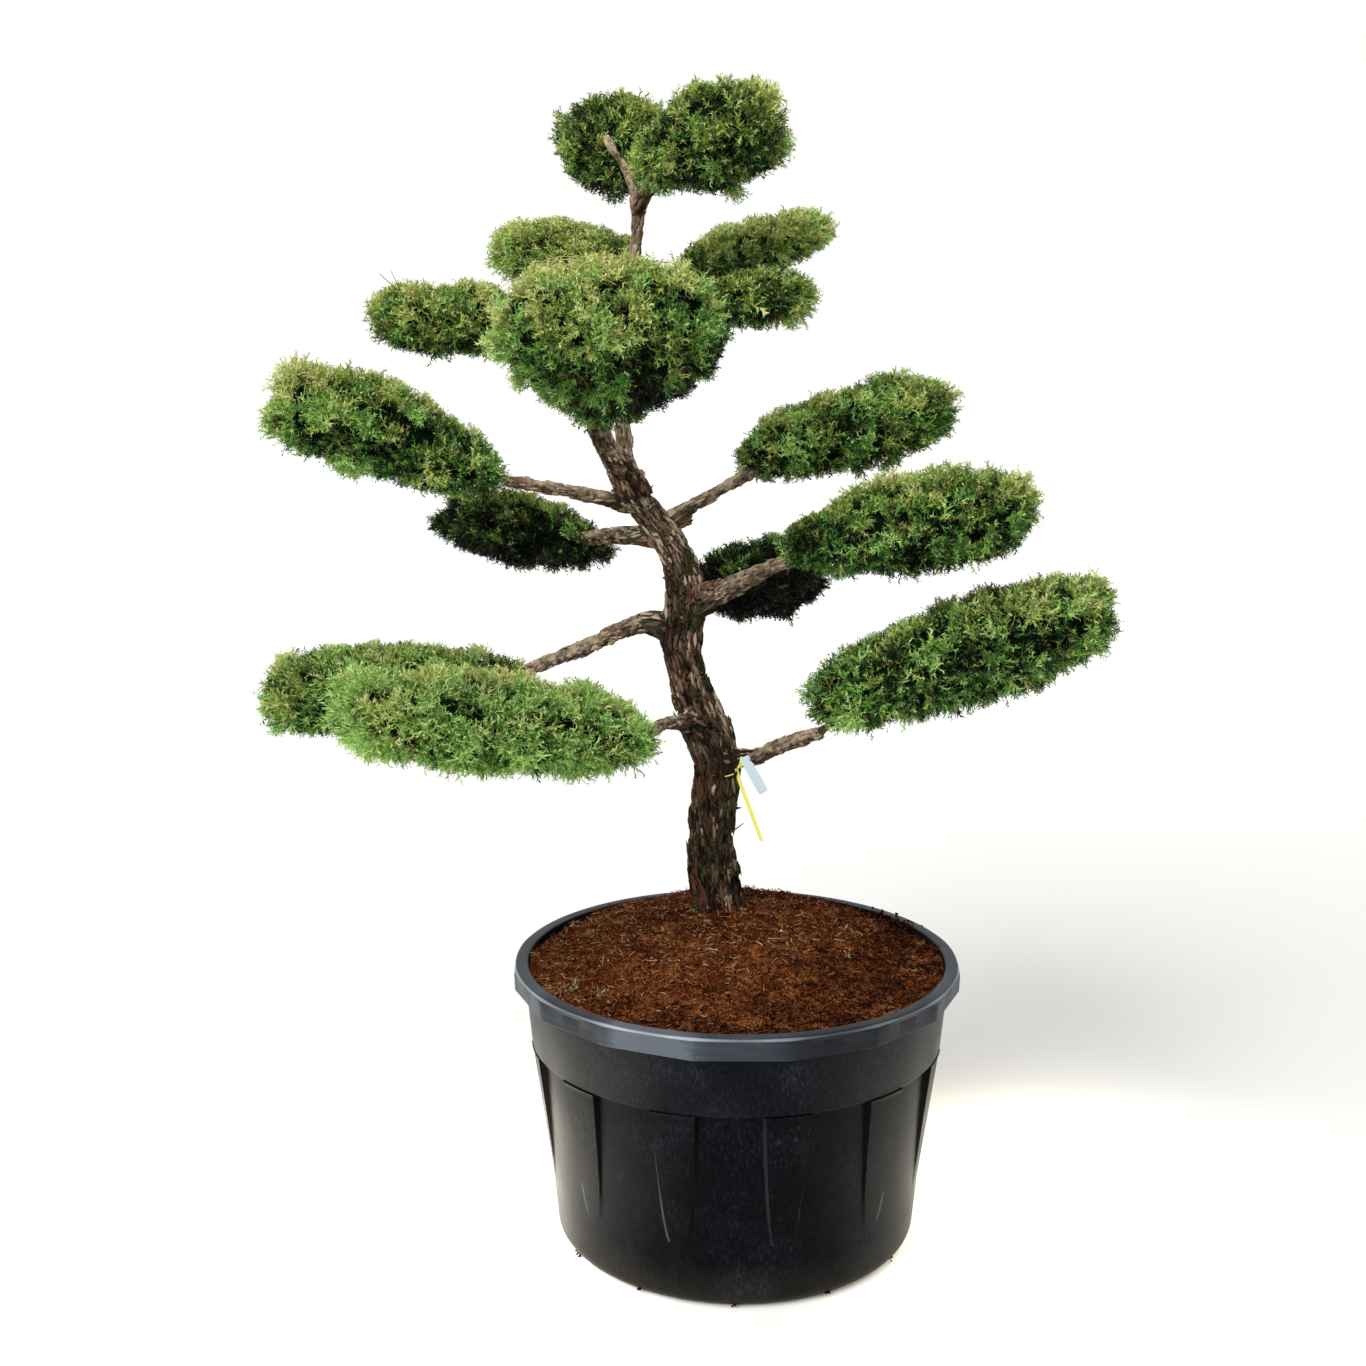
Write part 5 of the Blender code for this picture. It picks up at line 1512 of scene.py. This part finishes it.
def makeTie():
    centre, radius, tilt, crossing = labelCrossing()
    bm = bmesh.new()
    upright = Matrix.Translation((radius, 0, 0)) @ Matrix.Rotation(math.pi / 2, 4, "X")
    made = bmesh.ops.create_circle(bm, segments=8, radius=label["bandRadius"], matrix=upright)
    spinRound(bm, made["verts"] + list(bm.edges), 72)
    for vert in bm.verts:
        behind = math.degrees(math.atan2(vert.co.y, vert.co.x)) - label["crossing"]
        hidden = clamp((abs((behind + 190) % 360 - 170) - 12) / 8)
        out = Vector((vert.co.x, vert.co.y, 0)).normalized()
        vert.co -= out * hidden * label["sunk"]
    bm.transform(Matrix.Translation(centre) @ tilt.to_4x4())
    rows = smoothPath([(*(crossing + Vector(b)), 0) for b in label["tail"]], 0.004)
    for first, last in zip(rows, rows[1:]):
        step = (last - first).xyz
        size = (label["tailWidth"], label["tailThickness"], step.length * 1.04, 1)
        flat = Vector((0, 1, 0)).cross(step).normalized()
        turn = Matrix((flat, step.cross(flat).normalized(), step.normalized())).transposed()
        middle = Matrix.Translation((first.xyz + last.xyz) / 2)
        bmesh.ops.create_cube(bm, size=1, matrix=middle @ turn.to_4x4() @ Matrix.Diagonal(size))
    knot = crossing + Vector(label["tail"][0]) - label["knotRadius"] * up
    bmesh.ops.create_icosphere(
        bm,
        subdivisions=3,
        radius=label["knotRadius"],
        matrix=Matrix.Translation(knot) @ Matrix.Diagonal((1.0, 0.7, 1.2, 1)),
    )
    return meshFrom("tie", bm, 40)


def makeTag():
    front = label["knotRadius"] + 0.0003 + label["tagThickness"] / 2
    top = labelCrossing()[3] + Vector(label["tail"][0]) + Vector((0.002, -front, 0))
    bm = bmesh.new()
    size = Matrix.Diagonal((label["tagWidth"], label["tagThickness"], label["tagLength"], 1))
    bmesh.ops.create_cube(bm, size=1, matrix=size)
    upright = [e for e in bm.edges if abs(e.verts[0].co.y - e.verts[1].co.y) > 1e-4]
    bmesh.ops.bevel(
        bm,
        geom=upright,
        offset=label["tagCorner"],
        segments=4,
        profile=0.5,
        affect="EDGES",
        material=-1,
    )
    lean = Matrix.Rotation(-math.radians(label["tagLean"]), 4, "Y")
    drop = Matrix.Translation((0, 0, -label["tagLength"] / 2))
    bm.transform(Matrix.Translation(top) @ lean @ drop)
    return meshFrom("tag", bm, 40)


# Polythene strip, extruded: bright and a little waxy
tieFinish = newFinish("polytheneTie", "#f0ec70", 0.42)
# PVC label stock: pale blue-white with a soft sheen
tagFinish = newFinish("blankLabelStock", "#cbdde3", 0.38)
finishPiece("tie", makeTie(), [tieFinish], ["label_tie"])
finishPiece("tag", makeTag(), [tagFinish], ["label_tag"])


# The studio: a pale floor, soft light and the photograph's camera

studio = {
    "camera": (-0.084, -2.6, 1.362),
    "pitch": 10.41,
    "lens": 45.25,
    "floor": "#f2f2f0",
    "world": 0.50,
    "width": 14,
    "sweepFront": -7.0,
    "sweepBack": 3.0,
    "sweepRadius": 1.5,
    "sweepHeight": 6.0,
    "sunFrom": (-1.7, -2.1, 2.1),
    "sunSoftness": 36,
    "sunPower": 2.3,
}
softboxes = {  # place, aim, width and depth, power, colour
    "overhead": ((-0.9, -1.3, 3.4), (0, 0, 0.8), (1.2, 1.2), 25, (1.0, 0.96, 0.87)),
    "floorLeft": ((-0.52, -0.10, 0.21), (-0.52, -0.10, 0), (0.3, 0.9), 8.8, (1.0, 0.93, 0.78)),
    "floorRight": ((0.52, -0.10, 0.21), (0.52, -0.10, 0), (0.3, 0.9), 4.2, (1.0, 0.93, 0.76)),
}


def makeFloor():
    s = studio
    radius = s["sweepRadius"]
    bm = bmesh.new()
    sweep = [(radius * math.sin(t), radius * (1 - math.cos(t))) for t in quarter(12)]
    profile = [
        (s["sweepFront"], 0),
        *((s["sweepBack"] + y, z) for y, z in sweep),
        (s["sweepBack"] + radius, s["sweepHeight"]),
    ]
    _, edges = chain(bm, [(-s["width"] / 2, y, z) for y, z in profile])
    made = bmesh.ops.extrude_edge_only(bm, edges=edges)
    moved = [item for item in made["geom"] if isinstance(item, bmesh.types.BMVert)]
    bmesh.ops.translate(bm, verts=moved, vec=(s["width"], 0, 0))
    floor = bpy.data.objects.new("studioFloor", meshFrom("studioFloor", bm))
    floor.data.materials.append(newFinish("paintedFloor", s["floor"], 0.9))
    scene.collection.objects.link(floor)


def placeLamp(name, kind, spot, aim, power):
    lamp = bpy.data.lights.new(name, kind)
    lamp.energy = power
    holder = bpy.data.objects.new(name, lamp)
    turn = (Vector(aim) - Vector(spot)).to_track_quat("-Z", "Y").to_matrix().to_4x4()
    holder.matrix_world = Matrix.Translation(spot) @ turn
    scene.collection.objects.link(holder)
    return lamp, holder


def makeStudio():
    makeFloor()
    world = bpy.data.worlds.new("studioSky")
    world.use_nodes = True
    sky = world.node_tree.nodes["Background"]
    sky.inputs["Color"].default_value = (1, 1, 1, 1)
    sky.inputs["Strength"].default_value = studio["world"]
    scene.world = world
    lamp, _ = placeLamp("softSun", "SUN", studio["sunFrom"], (0, 0, 0), studio["sunPower"])
    lamp.angle = math.radians(studio["sunSoftness"])
    for name, (spot, aim, size, power, colour) in softboxes.items():
        lamp, holder = placeLamp(name, "AREA", spot, aim, power)
        lamp.shape = "RECTANGLE"
        lamp.size, lamp.size_y = size
        lamp.color = colour
        holder.visible_camera = False
    lens = bpy.data.cameras.new("photoCamera")
    lens.lens = studio["lens"]
    lens.sensor_width = 36
    camera = bpy.data.objects.new("photoCamera", lens)
    tilt = Matrix.Rotation(math.radians(90 - studio["pitch"]), 4, "X")
    camera.matrix_world = Matrix.Translation(studio["camera"]) @ tilt
    scene.collection.objects.link(camera)
    scene.camera = camera


makeStudio()
